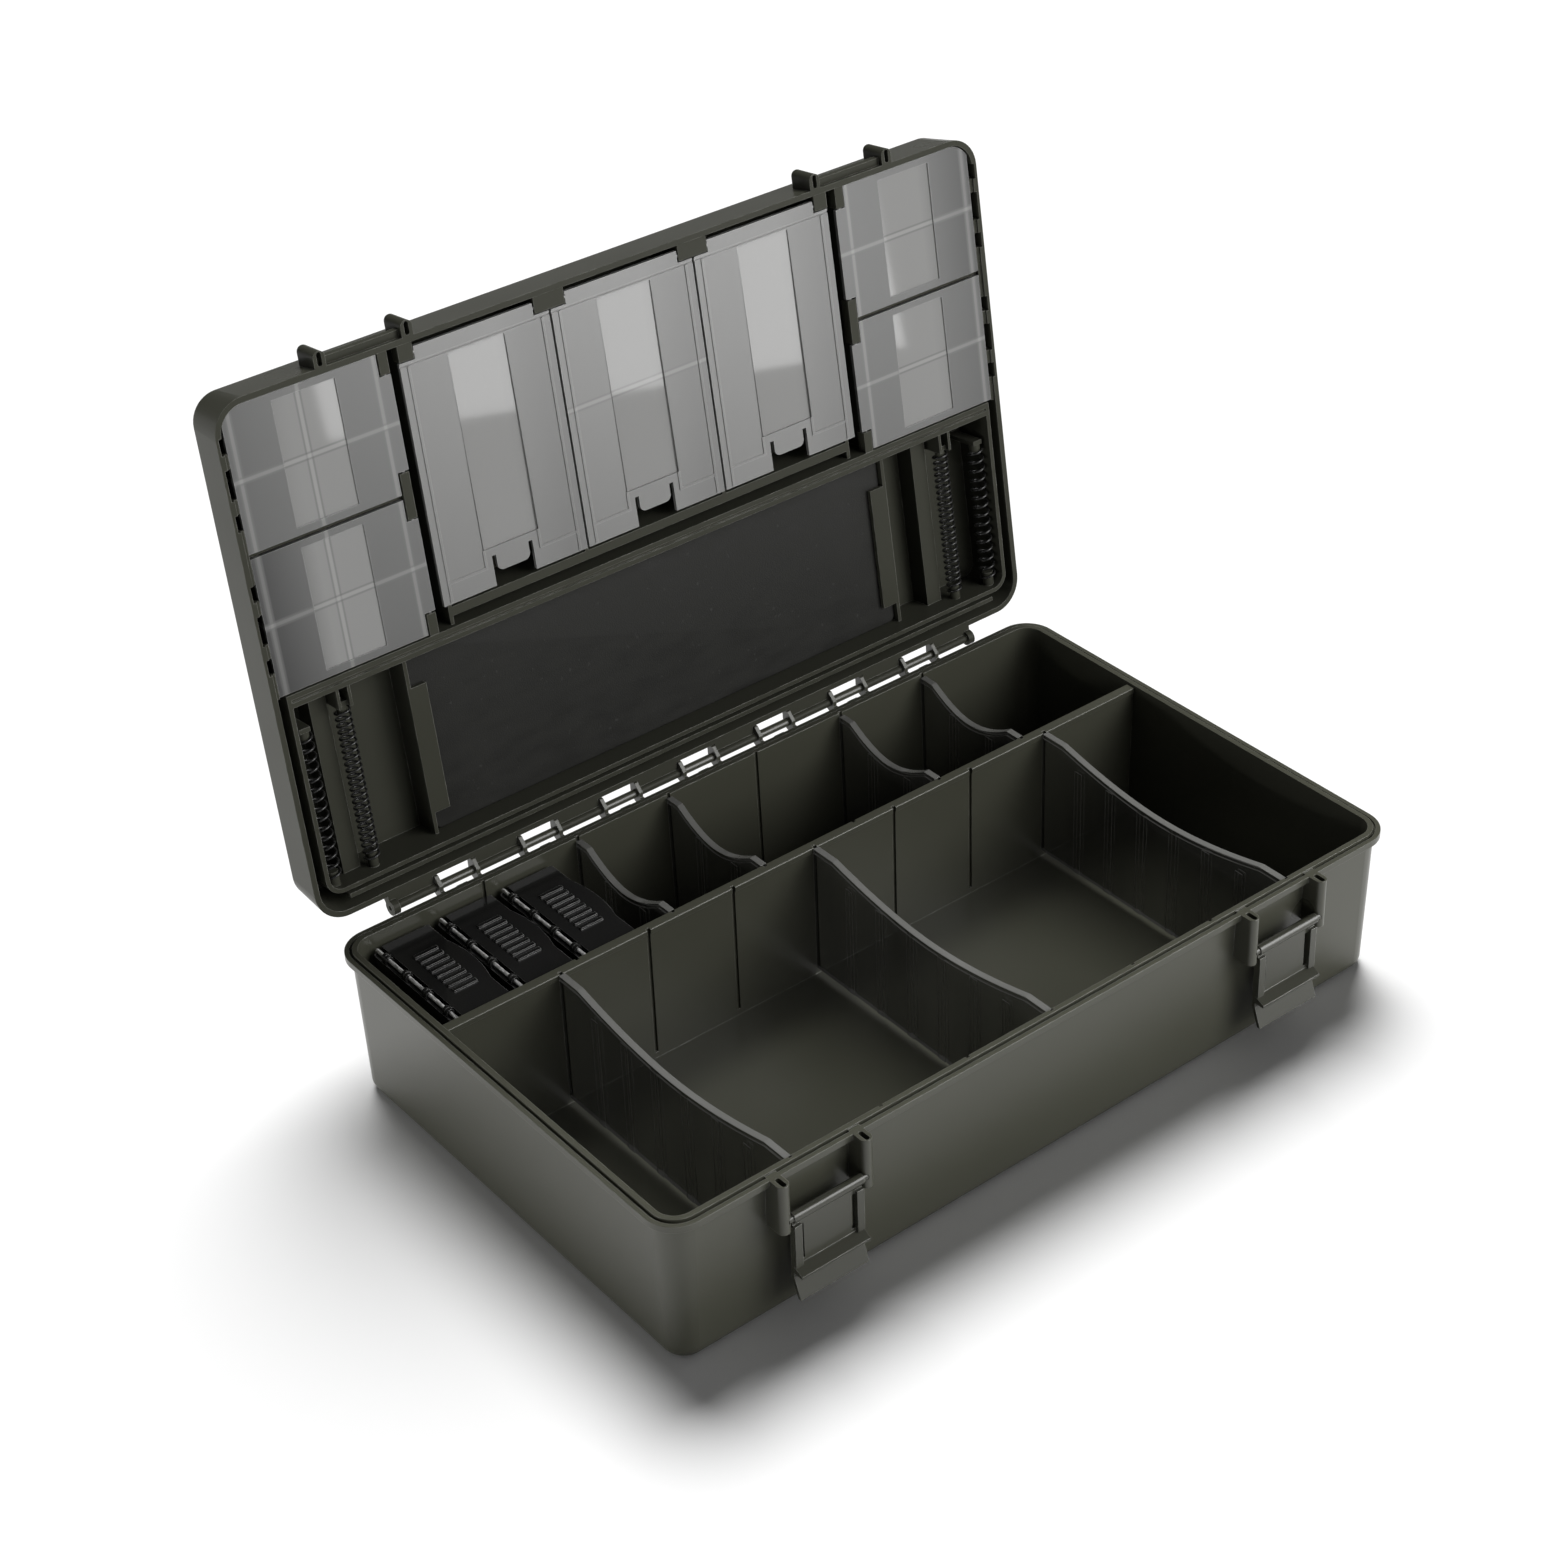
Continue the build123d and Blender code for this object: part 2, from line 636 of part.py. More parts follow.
def mini_bore(index):
    """The hole for a hook box's hinge pin."""
    y_span = mini_spans(index)[1]
    radius = MINI_PIN_RADIUS + MINI_PIN_CLEARANCE
    return rod_y(radius, mini_pin_x(index), y_span[0] - MINI_WALL, y_span[1] + MINI_WALL, mini_pin_z())


def make_mini_box(index):
    """The upright body of a hook box, open at the top."""
    x_span, y_span, z_span = mini_spans(index)
    body = block(x_span, y_span, z_span)
    body = fillet(body.edges().filter_by(Axis.Z), MINI_WALL)
    body = fillet(body.faces().sort_by(Axis.Z)[0].edges(), BASE_INNER_RADIUS)
    hollow = block(
        (x_span[0] + MINI_WALL, x_span[1] - MINI_WALL),
        (y_span[0] + MINI_WALL, y_span[1] - MINI_WALL),
        (z_span[0] + MINI_WALL, z_span[1]),
    )
    relief_reach = MINI_KNUCKLE_RADIUS + MINI_LID_GAP
    body = body - hollow
    for centre in [knuckle.center().Y for knuckle in mini_knuckles(index, True)]:
        half = MINI_KNUCKLE_LENGTH / 2 + MINI_LID_GAP / 2
        body = body - rod_y(relief_reach, mini_pin_x(index), centre - half, centre + half, mini_pin_z())
    return body + mini_knuckles(index, False) - mini_bore(index)


def make_mini_lid(index):
    """The flat lid of a hook box, with grip ribs and a bowed edge to lift it by."""
    x_span, y_span, z_span = mini_spans(index)
    middle = (y_span[0] + y_span[1]) / 2
    low = RIM_HEIGHT - MINI_TOP_GAP - MINI_LID
    top = low + MINI_LID
    left, right = mini_pin_x(index) + MINI_EDGE_GAP, x_span[1]
    plate = block((left, right), y_span, (low, top))
    half_tab = MINI_TAB_LENGTH / 2
    tab_outline = [
        ThreePointArc(
            (right, middle - half_tab), (right + MINI_TAB_REACH, middle), (right, middle + half_tab)
        ),
        Line((right, middle + half_tab), (right, middle - half_tab)),
    ]
    tab = Pos(0, 0, low) * extrude(make_face(tab_outline), MINI_LID)
    panel_left = (left + right - MINI_RIB_LENGTH) / 2
    ribs = []
    for place in range(MINI_RIBS):
        y = middle + (place - (MINI_RIBS - 1) / 2) * MINI_RIB_PITCH
        span = (y - MINI_RIB_WIDTH / 2, y + MINI_RIB_WIDTH / 2)
        ribs.append(block((panel_left, panel_left + MINI_RIB_LENGTH), span, (top, top + MINI_RIB_RISE)))
    return plate + tab + ribs + mini_knuckles(index, True) - mini_bore(index)


def make_mini_pin(index):
    """The bright steel pin of a hook box's hinge."""
    y_span = mini_spans(index)[1]
    return rod_y(MINI_PIN_RADIUS, mini_pin_x(index), y_span[0], y_span[1], mini_pin_z())


# Latch levers


def make_right_lever():
    """The right-hand lever as it hangs: barrel, framed panel, hook and finger lip."""
    half = (LATCH_EAR_SPACING - LATCH_EAR_WIDTH) / 2 - LEVER_SIDE_GAP
    x_span = (LATCH_X - half, LATCH_X + half)
    panel_back = PIVOT_Y + LEVER_PANEL
    hook_z = PIVOT_Z - LEVER_HOOK_DROP
    hook_y = PIVOT_Y - LEVER_HOOK_REACH
    lip_z = PIVOT_Z - LEVER_LIP_DROP
    outline = [
        (panel_back, PIVOT_Z),
        (panel_back, hook_z - LEVER_NECK),
        (PIVOT_Y - LEVER_LIP_FLARE + LEVER_PANEL, lip_z),
        (PIVOT_Y - LEVER_LIP_FLARE, lip_z),
        (PIVOT_Y, hook_z - LEVER_NECK),
        (PIVOT_Y, hook_z - LEVER_HOOK_THICKNESS / 2),
        (hook_y, hook_z - LEVER_HOOK_THICKNESS / 2),
        (hook_y, hook_z),
        (PIVOT_Y, hook_z + LEVER_HOOK_THICKNESS),
        (PIVOT_Y, PIVOT_Z),
    ]
    lever = across_x(outline, *x_span)
    lever = lever + rod_x(LEVER_BARREL_RADIUS, *x_span, PIVOT_Y, PIVOT_Z)
    rail_low = hook_z + LEVER_HOOK_THICKNESS
    rail_high = PIVOT_Z - LEVER_BARREL_RADIUS - LEVER_NECK / 2
    for side in (-1, 1):
        outer = LATCH_X + side * half
        inner = outer - side * LEVER_RAIL_WIDTH
        slot_end = inner - side * LEVER_SLOT_WIDTH
        rail = block(sorted((inner, outer)), (PIVOT_Y - LEVER_RAIL, PIVOT_Y), (rail_low, rail_high))
        cut = block(
            sorted((inner, slot_end)),
            (PIVOT_Y - LEVER_RAIL, panel_back + LEVER_RAIL),
            (rail_low + LEVER_RAIL, rail_high - LEVER_RAIL),
        )
        lever = lever + rail - cut
    reach = half + LEVER_SIDE_GAP + LATCH_TRUNNION_ENTRY
    return lever + rod_x(LATCH_TRUNNION_RADIUS, LATCH_X - reach, LATCH_X + reach, PIVOT_Y, PIVOT_Z)


def make_left_lever():
    """The left-hand lever, a mirror image of the right-hand one."""
    return mirror(make_right_lever(), Plane.YZ)


# Lid shell, all in the closed position


def lid_inset(at_depth):
    """How far the lid's outer wall lies inside the rim at a depth."""
    return LID_TAPER * at_depth / LID_DEPTH


def lid_outer():
    """The lid's outer form with its rounded top edge."""
    low, high = depth((0, LID_DEPTH))
    form = rim_solid((0, low), (LID_TAPER, high))
    return fillet(form.faces().sort_by(Axis.Z)[-1].edges(), LID_EDGE_RADIUS)


def lid_hollow():
    """The space inside the lid's walls and skin."""
    low, high = depth((0, LID_INNER_DEPTH))
    inset = LID_WALL + lid_inset(LID_INNER_DEPTH)
    return rim_solid((LID_WALL, low), (inset, high))


def centre_cover_x(index):
    """The middle of a centre cover along the box."""
    return (index - 1) * CENTRE_COVER_PITCH


def lid_ledge():
    """The full-width ledge between the bins and the recess, with a groove along its face."""
    reach = HALF_LENGTH - INNER_WALL_INSET
    wall = block(
        (-reach, reach), (LEDGE_Y, LEDGE_Y + LEDGE_FLANGE), depth((LEDGE_DEPTH, LID_INNER_DEPTH))
    )
    flange = block(
        (-reach, reach), (LEDGE_Y, LEDGE_Y + LEDGE_WIDTH), depth((LEDGE_DEPTH, LEDGE_DEPTH + LEDGE_FLANGE))
    )
    middle = LEDGE_Y + LEDGE_WIDTH / 2
    groove = block(
        (-reach, reach),
        (middle - LEDGE_GROOVE / 2, middle + LEDGE_GROOVE / 2),
        depth((0, LEDGE_DEPTH + LEDGE_FLANGE / 3)),
    )
    return wall + flange - groove


def recess_wall():
    """The upright wall round the recess, with its second ridge beside the hinge."""
    outer_x = HALF_LENGTH - INNER_WALL_INSET
    outline_radius = RIM_CORNER - INNER_WALL_INSET
    z_low, z_high = depth((LEDGE_DEPTH, LID_INNER_DEPTH))
    height = z_high - z_low
    outer = RectangleRounded(2 * outer_x, 2 * (RECESS_Y + INNER_WALL), outline_radius)
    inner = RectangleRounded(2 * (outer_x - INNER_WALL), 2 * RECESS_Y, outline_radius - INNER_WALL)
    ring = Pos(0, 0, z_low) * extrude(outer - inner, height)
    front = block((-HALF_LENGTH, HALF_LENGTH), (-HALF_WIDTH, LEDGE_Y), (z_low, z_high))
    ridge_y = RECESS_Y + 2 * INNER_WALL
    reach = outer_x - outline_radius - INNER_WALL
    ridge = block((-reach, reach), (ridge_y, ridge_y + INNER_WALL), (z_low, z_high))
    return [ring - front, ridge]


def bin_walls():
    """The walls under the covers that part the lid into bins."""
    half = LID_RIB / 2
    z_span = depth((BIN_TOP_DEPTH, LID_INNER_DEPTH))
    side_wall_x = CENTRE_HALF - COVER_TAIL - half
    walls = [
        block((-side_wall_x, side_wall_x), (CATCH_Y, CATCH_Y + LID_RIB), z_span),
        block(
            (-side_wall_x, side_wall_x),
            (CATCH_Y, CATCH_Y + CATCH_WIDTH),
            depth((BIN_TOP_DEPTH, BIN_TOP_DEPTH + LID_RIB)),
        ),
        block(
            (-CENTRE_COVER_PITCH / 2, CENTRE_COVER_PITCH / 2),
            (CENTRE_CROSS_WALL_Y - half, CENTRE_CROSS_WALL_Y + half),
            z_span,
        ),
    ]
    inner = SIDE_AXIS_X + COVER_THICKNESS
    outer_wall = HALF_LENGTH - INNER_WALL_INSET
    outer_reach = HALF_LENGTH - LID_WALL / 2
    for side in (-1, 1):
        spans = [
            (side * CENTRE_COVER_PITCH / 2, FREE_WALL_Y, CATCH_Y),
            (side * side_wall_x, FREE_WALL_Y, LEDGE_Y),
            (side * (inner + half), FREE_WALL_Y, LEDGE_Y),
            (side * (outer_wall - half), FREE_WALL_Y, LEDGE_Y),
        ]
        for x, y_low, y_high in spans:
            walls.append(block((x - half, x + half), (y_low - half, y_high + half), z_span))
        for y in side_cell_walls():
            ends = sorted((side * inner, side * outer_reach))
            walls.append(block(ends, (y - half, y + half), z_span))
    left_wall = (LEFT_CELL_WALL_X - half, LEFT_CELL_WALL_X + half)
    walls.append(block(left_wall, (FREE_WALL_Y - half, LEDGE_Y + half), z_span))
    return walls


def side_cell_walls():
    """Where the walls across the side bins lie: one under the covers' joint and one under each cover."""
    return (SIDE_COVER_SPLIT, SIDE_COVER_SPLIT + SIDE_CELL_WALL, SIDE_COVER_SPLIT - SIDE_CELL_WALL)


def side_shelf():
    """The step beside the right-hand covers, with its pockets: small, large and small for each cover."""
    edge = SIDE_COVER_OUTER + COVER_SEAT_GAP
    y_span = (FREE_WALL_Y + RIM_CORNER, LEDGE_Y)
    shelf = block((edge, HALF_LENGTH - LID_WALL / 2), y_span, depth((COVER_DEPTH, BIN_TOP_DEPTH)))
    pockets = []
    for middle in side_cover_middles():
        for step, length in ((-1, POCKET_SMALL), (0, POCKET_LARGE), (1, POCKET_SMALL)):
            y = middle + step * POCKET_PITCH
            span = (y - length / 2, y + length / 2)
            reach = (edge - CUT_OVERRUN, HALF_LENGTH - POCKET_WALL)
            pockets.append(block(reach, span, depth((-CUT_OVERRUN, POCKET_DEPTH))))
    return shelf, pockets


def side_cover_spans():
    """The (low, high) ends along Y of the rear and the front side covers."""
    half_gap = SIDE_COVER_SPLIT_GAP / 2
    rear = (SIDE_COVER_SPLIT + half_gap, LEDGE_Y - COVER_GAP)
    front = (FREE_WALL_Y + SIDE_COVER_EDGE_GAP, SIDE_COVER_SPLIT - half_gap)
    return rear, front


def side_cover_middles():
    """The middles of the rear and the front side covers along Y."""
    return [(low + high) / 2 for low, high in side_cover_spans()]


def centre_lugs():
    """The blocks that carry the centre covers' trunnions, at the lid's free edge."""
    y_span = (FREE_WALL_Y - LID_WALL / 2, CENTRE_COVER_END + CENTRE_NOTCH_LENGTH - LUG_GAP)
    z_span = depth((LUG_DEPTH, LUG_DEPTH + LUG_HEIGHT))
    lugs = []
    for step in range(CENTRE_COVERS + 1):
        x = (step - CENTRE_COVERS / 2) * CENTRE_COVER_PITCH
        half = CENTRE_NOTCH_WIDTH + (CENTRE_COVER_PITCH - CENTRE_COVER_WIDTH) / 2 - LUG_GAP
        low = max(x - half, -CENTRE_HALF)
        high = min(x + half, CENTRE_HALF)
        lugs.append(block((low, high), y_span, z_span))
    return lugs


def centre_lug_bores():
    """Blind trunnion holes along each centre cover's axis."""
    radius = COVER_TRUNNION_RADIUS + COVER_TRUNNION_CLEARANCE
    z = MATING_Z + COVER_AXIS_DEPTH
    half = CENTRE_COVER_WIDTH / 2 - CENTRE_NOTCH_WIDTH + LUG_GAP + COVER_TRUNNION_ENTRY + LUG_GAP / 2
    middles = [centre_cover_x(index) for index in range(CENTRE_COVERS)]
    return [rod_x(radius, x - half, x + half, CENTRE_AXIS_Y, z) for x in middles]


def side_notch_spans():
    """The notches along a right-hand cover column: ends of both covers, the middle pair joined."""
    rear, front = side_cover_spans()
    return [
        (rear[1] - SIDE_NOTCH_LENGTH, LEDGE_Y),
        (front[1] - SIDE_NOTCH_LENGTH, rear[0] + SIDE_NOTCH_LENGTH),
        (FREE_WALL_Y, front[0] + SIDE_NOTCH_LENGTH),
    ]


def side_lugs():
    """The blocks that carry the right-hand side covers' trunnions."""
    x_span = (SIDE_COVER_INNER + LUG_GAP / 2, SIDE_COVER_INNER + SIDE_NOTCH_WIDTH - LUG_GAP)
    z_span = depth((LUG_DEPTH, LUG_DEPTH + LUG_HEIGHT))
    rear_end, middle, front_end = side_notch_spans()
    spans = [
        (rear_end[0] + LUG_GAP, rear_end[1] + LEDGE_FLANGE / 2),
        (middle[0] + LUG_GAP, middle[1] - LUG_GAP),
        (front_end[0] - LID_WALL / 2, front_end[1] - LUG_GAP),
    ]
    return [block(x_span, span, z_span) for span in spans]


def side_lug_bores():
    """Blind trunnion holes along the right-hand side covers' axis."""
    radius = COVER_TRUNNION_RADIUS + COVER_TRUNNION_CLEARANCE
    z = MATING_Z + COVER_AXIS_DEPTH
    over = LUG_GAP + COVER_TRUNNION_ENTRY + LUG_GAP / 2
    bores = []
    for low, high in side_cover_spans():
        span = (low + SIDE_NOTCH_LENGTH - over, high - SIDE_NOTCH_LENGTH + over)
        bores.append(rod_y(radius, SIDE_AXIS_X, *span, z))
    return bores


def board_clips():
    """The side rails of the foam board with the lips that hold it down."""
    wall_x = BOARD_HALF_WIDTH + BOARD_GAP
    rail_y = (LEDGE_Y, RECESS_Y + INNER_WALL)
    rail = block((wall_x, wall_x + LID_RIB), rail_y, depth((CLIP_DEPTH, LID_INNER_DEPTH)))
    lip_z = depth((CLIP_DEPTH, BOARD_DEPTH - BOARD_GAP))
    return rail + block((wall_x - CLIP_REACH, wall_x), (CLIP_START, CLIP_END), lip_z)


def spring_holders():
    """Stubs that the right-hand springs' ends fit over, with a post, a fork and the walls behind them."""
    outer_bore = OUTER_SPRING_RADIUS - SPRING_WIRE / 2 - SPRING_STUB_CLEARANCE
    inner_bore = INNER_SPRING_RADIUS - SPRING_WIRE / 2 - SPRING_STUB_CLEARANCE
    outer_z = MATING_Z + OUTER_SPRING_DEPTH
    inner_z = MATING_Z + INNER_SPRING_DEPTH
    outer_low, inner_low = OUTER_SPRING_START - SPRING_WIRE, INNER_SPRING_START - SPRING_WIRE
    outer_end = OUTER_SPRING_START + OUTER_SPRING_PITCH * OUTER_SPRING_TURNS
    inner_end = INNER_SPRING_START + INNER_SPRING_PITCH * INNER_SPRING_TURNS
    wall_y = RECESS_Y + INNER_WALL / 2
    stub = SPRING_STUB_ENTRY
    post = block(
        (OUTER_SPRING_X - outer_bore, OUTER_SPRING_X + outer_bore),
        (outer_low - SPRING_POST, outer_low),
        depth((OUTER_SPRING_DEPTH - outer_bore, LID_INNER_DEPTH)),
    )
    cross = block(
        (INNER_SPRING_X - FORK_SPACING / 2, INNER_SPRING_X + FORK_SPACING / 2),
        (inner_low - SPRING_POST, inner_low),
        depth((INNER_SPRING_DEPTH - inner_bore, LID_INNER_DEPTH)),
    )
    solids = [
        post,
        cross,
        rod_y(outer_bore, OUTER_SPRING_X, outer_low - SPRING_POST, outer_low + stub, outer_z),
        rod_y(inner_bore, INNER_SPRING_X, inner_low - SPRING_POST, inner_low + stub, inner_z),
        rod_y(outer_bore, OUTER_SPRING_X, outer_end - stub, wall_y, outer_z),
        rod_y(inner_bore, INNER_SPRING_X, inner_end - stub, wall_y, inner_z),
    ]
    for side in (-1, 1):
        x = INNER_SPRING_X + side * FORK_SPACING / 2
        rib = (x - FORK_RIB / 2, x + FORK_RIB / 2)
        solids.append(block(rib, (LEDGE_Y, inner_low), depth((FORK_TOP_DEPTH, LID_INNER_DEPTH))))
    return solids


def plateaus():
    """The raised strip on the left-hand side of each inner spring."""
    strips = []
    for spring_x, offset in zip((INNER_SPRING_X, -INNER_SPRING_X), PLATEAU_OFFSETS):
        x = spring_x + offset
        strips.append(
            block(
                (x - PLATEAU_WIDTH / 2, x + PLATEAU_WIDTH / 2),
                (LEDGE_Y, RECESS_Y + INNER_WALL / 2),
                depth((PLATEAU_DEPTH, LID_INNER_DEPTH)),
            )
        )
    return strips


def lid_knuckle_spans():
    """The (low, high) ends along X of the lid's knuckles, between and beyond the base's units."""
    half_unit = HINGE_EAR_SPACING / 2 + HINGE_EAR_THICKNESS / 2 + HINGE_SIDE_GAP
    edges = [-HINGE_KNUCKLE_SPAN / 2]
    for index in range(HINGE_UNITS):
        x = hinge_unit_x(index)
        edges += [x - half_unit, x + half_unit]
    edges.append(HINGE_KNUCKLE_SPAN / 2)
    return list(zip(edges[::2], edges[1::2]))


def lid_knuckles():
    """The lid's knuckles, the webs that join them to its rear wall and a ring at each end of the row."""
    solids = []
    for low, high in lid_knuckle_spans():
        solids.append(rod_x(HINGE_BARREL_RADIUS, low, high, HINGE_Y, HINGE_Z))
        web = [
            (HALF_WIDTH - LID_WALL / 2, MATING_Z),
            (HALF_WIDTH - LID_WALL / 2, MATING_Z + HINGE_KNUCKLE_RADIUS + HINGE_WEB),
            (HINGE_Y + HINGE_BARREL_RADIUS / 2, HINGE_Z + HINGE_BARREL_RADIUS - LID_SEAT_GAP),
            (HINGE_Y, MATING_Z),
        ]
        solids.append(across_x(web, low, high))
    end = HINGE_KNUCKLE_SPAN / 2
    for side in (-1, 1):
        ring = sorted((side * end, side * (end - HINGE_RING_LENGTH)))
        solids.append(rod_x(HINGE_KNUCKLE_RADIUS, *ring, HINGE_Y, HINGE_Z))
    return solids


def lid_latch_ears():
    """The right-hand keeper: two hollow ears and the bar that the lever's hook holds."""
    solids = []
    root = LATCH_FRONT_Y + KEEPER_ROOT
    low, high = depth((0, KEEPER_EAR_DEPTH))
    for side in (-1, 1):
        x = LATCH_X + side * LATCH_EAR_SPACING / 2
        ear = Pos(0, 0, low) * extrude(ear_outline(x, KEEPER_EAR_REACH, root), high - low)
        nose_edge = ear.edges().filter_by(GeomType.CIRCLE).sort_by(Axis.Z)[-1]
        ear = fillet(nose_edge, LATCH_EAR_WIDTH / 3)
        solids.append(ear - ear_hollow(x, KEEPER_EAR_REACH, (low, high - LATCH_EAR_WIDTH)))
    hook_low = PIVOT_Z + LEVER_HOOK_DROP - LEVER_HOOK_THICKNESS
    bar_top = hook_low - LATCH_TRAVEL_GAP
    bar_front = PIVOT_Y + LEVER_RAIL + LATCH_TRAVEL_GAP
    half = LATCH_EAR_SPACING / 2
    solids.append(
        block((LATCH_X - half, LATCH_X + half), (bar_front, root), (bar_top - KEEPER_HEIGHT, bar_top))
    )
    return solids


def make_lid_shell():
    """The whole lid moulding, closed."""
    outer = lid_outer()
    hollow = lid_hollow()
    inside = [lid_ledge(), *recess_wall(), *bin_walls(), *centre_lugs(), *plateaus()]
    shelf, pockets = side_shelf()
    for solid in [shelf, board_clips(), *side_lugs(), *spring_holders()]:
        inside += mirrored(solid)
    fittings = Part() + inside
    limit_low = (LID_WALL / 2, MATING_Z)
    limit_high = (LID_WALL / 2 + LID_TAPER, MATING_Z + LID_DEPTH - LID_SKIN / 2)
    shell = outer - hollow + (fittings & rim_solid(limit_low, limit_high))
    shell = shell + lid_knuckles() - hinge_bore() - centre_lug_bores()
    for solid in lid_latch_ears():
        shell = shell + mirrored(solid)
    for solid in [*pockets, *side_lug_bores()]:
        shell = shell - mirrored(solid)
    return shell


def centre_cover_ribs(x, side):
    """The ribs on half a centre cover: one along its edge and one that turns up beside the window."""
    rib_x = x + side * (CENTRE_COVER_WIDTH / 2 - CENTRE_NOTCH_WIDTH / 2)
    corner_x = x + side * CENTRE_WINDOW_WIDTH / 2
    half = COVER_RIB_WIDTH / 2
    rib_z = depth((COVER_DEPTH - COVER_RIB_RISE, COVER_DEPTH))
    across = sorted((rib_x, corner_x))
    return [
        block((rib_x - half, rib_x + half), (FOLD_Y + FOLD_WIDTH, CENTRE_COVER_TOP - COVER_GAP), rib_z),
        block(across, (CORNER_RIB_Y - half, CORNER_RIB_Y + half), rib_z),
        block((corner_x - half, corner_x + half), (CENTRE_WINDOW_TOP, CORNER_RIB_Y + half), rib_z),
    ]


def make_centre_cover(index):
    """A centre cover with its window, fold line, snap tongue and trunnions, closed."""
    x = centre_cover_x(index)
    half = CENTRE_COVER_WIDTH / 2
    plate_z = depth((COVER_DEPTH, COVER_DEPTH + COVER_THICKNESS))
    cut_z = depth((0, COVER_DEPTH + 2 * COVER_THICKNESS))
    plate = block((x - half, x + half), (CENTRE_COVER_END, CENTRE_COVER_TOP), plate_z)
    notch_y = (CENTRE_COVER_END, CENTRE_COVER_END + CENTRE_NOTCH_LENGTH)
    fold_z = depth((0, COVER_DEPTH + FOLD_DEPTH))
    plate = plate - block((x - half, x + half), (FOLD_Y, FOLD_Y + FOLD_WIDTH), fold_z)
    for side in (-1, 1):
        notch_x = sorted((x + side * half, x + side * (half - CENTRE_NOTCH_WIDTH)))
        plate = plate - block(notch_x, notch_y, cut_z)
        plate = plate + centre_cover_ribs(x, side)
    snap = TONGUE_NOTCH_WIDTH / 2
    tongue = TONGUE_SNAP_WIDTH / 2
    plate = plate - block((x - snap, x + snap), (TONGUE_NOTCH_END, CENTRE_COVER_TOP), cut_z)
    tongue_solid = block((x - tongue, x + tongue), (TONGUE_NOTCH_END, TONGUE_TOP), plate_z)
    corners = tongue_solid.edges().filter_by(Axis.Z).group_by(Axis.Y)[-1]
    plate = plate + fillet(corners, TONGUE_CORNER)
    window_half = CENTRE_WINDOW_WIDTH / 2
    window_z = depth((COVER_DEPTH - WINDOW_RISE, COVER_DEPTH))
    plate = plate + block(
        (x - window_half, x + window_half), (CENTRE_WINDOW_END, CENTRE_WINDOW_TOP), window_z
    )
    reach = half - CENTRE_NOTCH_WIDTH + LUG_GAP + COVER_TRUNNION_ENTRY
    axis_z = MATING_Z + COVER_AXIS_DEPTH
    return plate + rod_x(COVER_TRUNNION_RADIUS, x - reach, x + reach, CENTRE_AXIS_Y, axis_z)


def make_side_cover(side, span):
    """A side cover with its window and trunnions, closed; side is +1 on the right and -1 on the left."""
    plate_z = depth((COVER_DEPTH, COVER_DEPTH + COVER_THICKNESS))
    cut_z = depth((0, COVER_DEPTH + 2 * COVER_THICKNESS))
    plate = block((SIDE_COVER_INNER, SIDE_COVER_OUTER), span, plate_z)
    corner_limit = rim_solid(
        (LID_WALL + SIDE_COVER_EDGE_GAP, cut_z[0]), (LID_WALL + SIDE_COVER_EDGE_GAP, cut_z[1])
    )
    plate = plate & corner_limit
    notch_x = (SIDE_COVER_INNER, SIDE_COVER_INNER + SIDE_NOTCH_WIDTH)
    plate = plate - block(notch_x, (span[0], span[0] + SIDE_NOTCH_LENGTH), cut_z)
    plate = plate - block(notch_x, (span[1] - SIDE_NOTCH_LENGTH, span[1]), cut_z)
    window_half = SIDE_WINDOW_WIDTH / 2
    window_z = depth((COVER_DEPTH - WINDOW_RISE, COVER_DEPTH))
    plate = plate + block(
        (SIDE_WINDOW_X - window_half, SIDE_WINDOW_X + window_half),
        (span[0] + SIDE_WINDOW_MARGIN, span[1] - SIDE_WINDOW_MARGIN),
        window_z,
    )
    over = LUG_GAP + COVER_TRUNNION_ENTRY
    axis_z = MATING_Z + COVER_AXIS_DEPTH
    trunnions = (span[0] + SIDE_NOTCH_LENGTH - over, span[1] - SIDE_NOTCH_LENGTH + over)
    plate = plate + rod_y(COVER_TRUNNION_RADIUS, SIDE_AXIS_X, *trunnions, axis_z)
    return plate if side > 0 else mirror(plate, Plane.YZ)


def make_rig_board():
    """The foam board that fills the recess, closed."""
    y_low = LEDGE_Y + LEDGE_FLANGE + BOARD_GAP
    y_high = RECESS_Y - BOARD_GAP
    z_low, z_high = depth((BOARD_DEPTH, LID_INNER_DEPTH - BOARD_GAP))
    outline = RectangleRounded(2 * BOARD_HALF_WIDTH, y_high - y_low, BOARD_CORNER)
    return Pos(0, (y_low + y_high) / 2, z_low) * extrude(outline, z_high - z_low)


# Coil springs


def helix_point(radius, pitch, angle):
    """A point and its unit tangent on a helix along +Y that starts above its axis."""
    point = Vector(radius * sin(angle), pitch * angle / tau, radius * cos(angle))
    tangent = Vector(radius * cos(angle), pitch / tau, -radius * sin(angle))
    return point, tangent.normalized()


def biarc(start, start_tangent, end, end_tangent):
    """Two arcs that leave start and reach end along the given tangents."""
    chord = end - start
    both = start_tangent + end_tangent
    spread = 2 * (1 - start_tangent.dot(end_tangent))
    along = chord.dot(both)
    arm = (sqrt(along**2 + spread * chord.dot(chord)) - along) / spread
    first, last = start + start_tangent * arm, end - end_tangent * arm
    middle = (first + last) / 2
    middle_tangent = (last - first).normalized()
    return [
        TangentArc(start, middle, tangent=start_tangent),
        TangentArc(middle, end, tangent=middle_tangent),
    ]


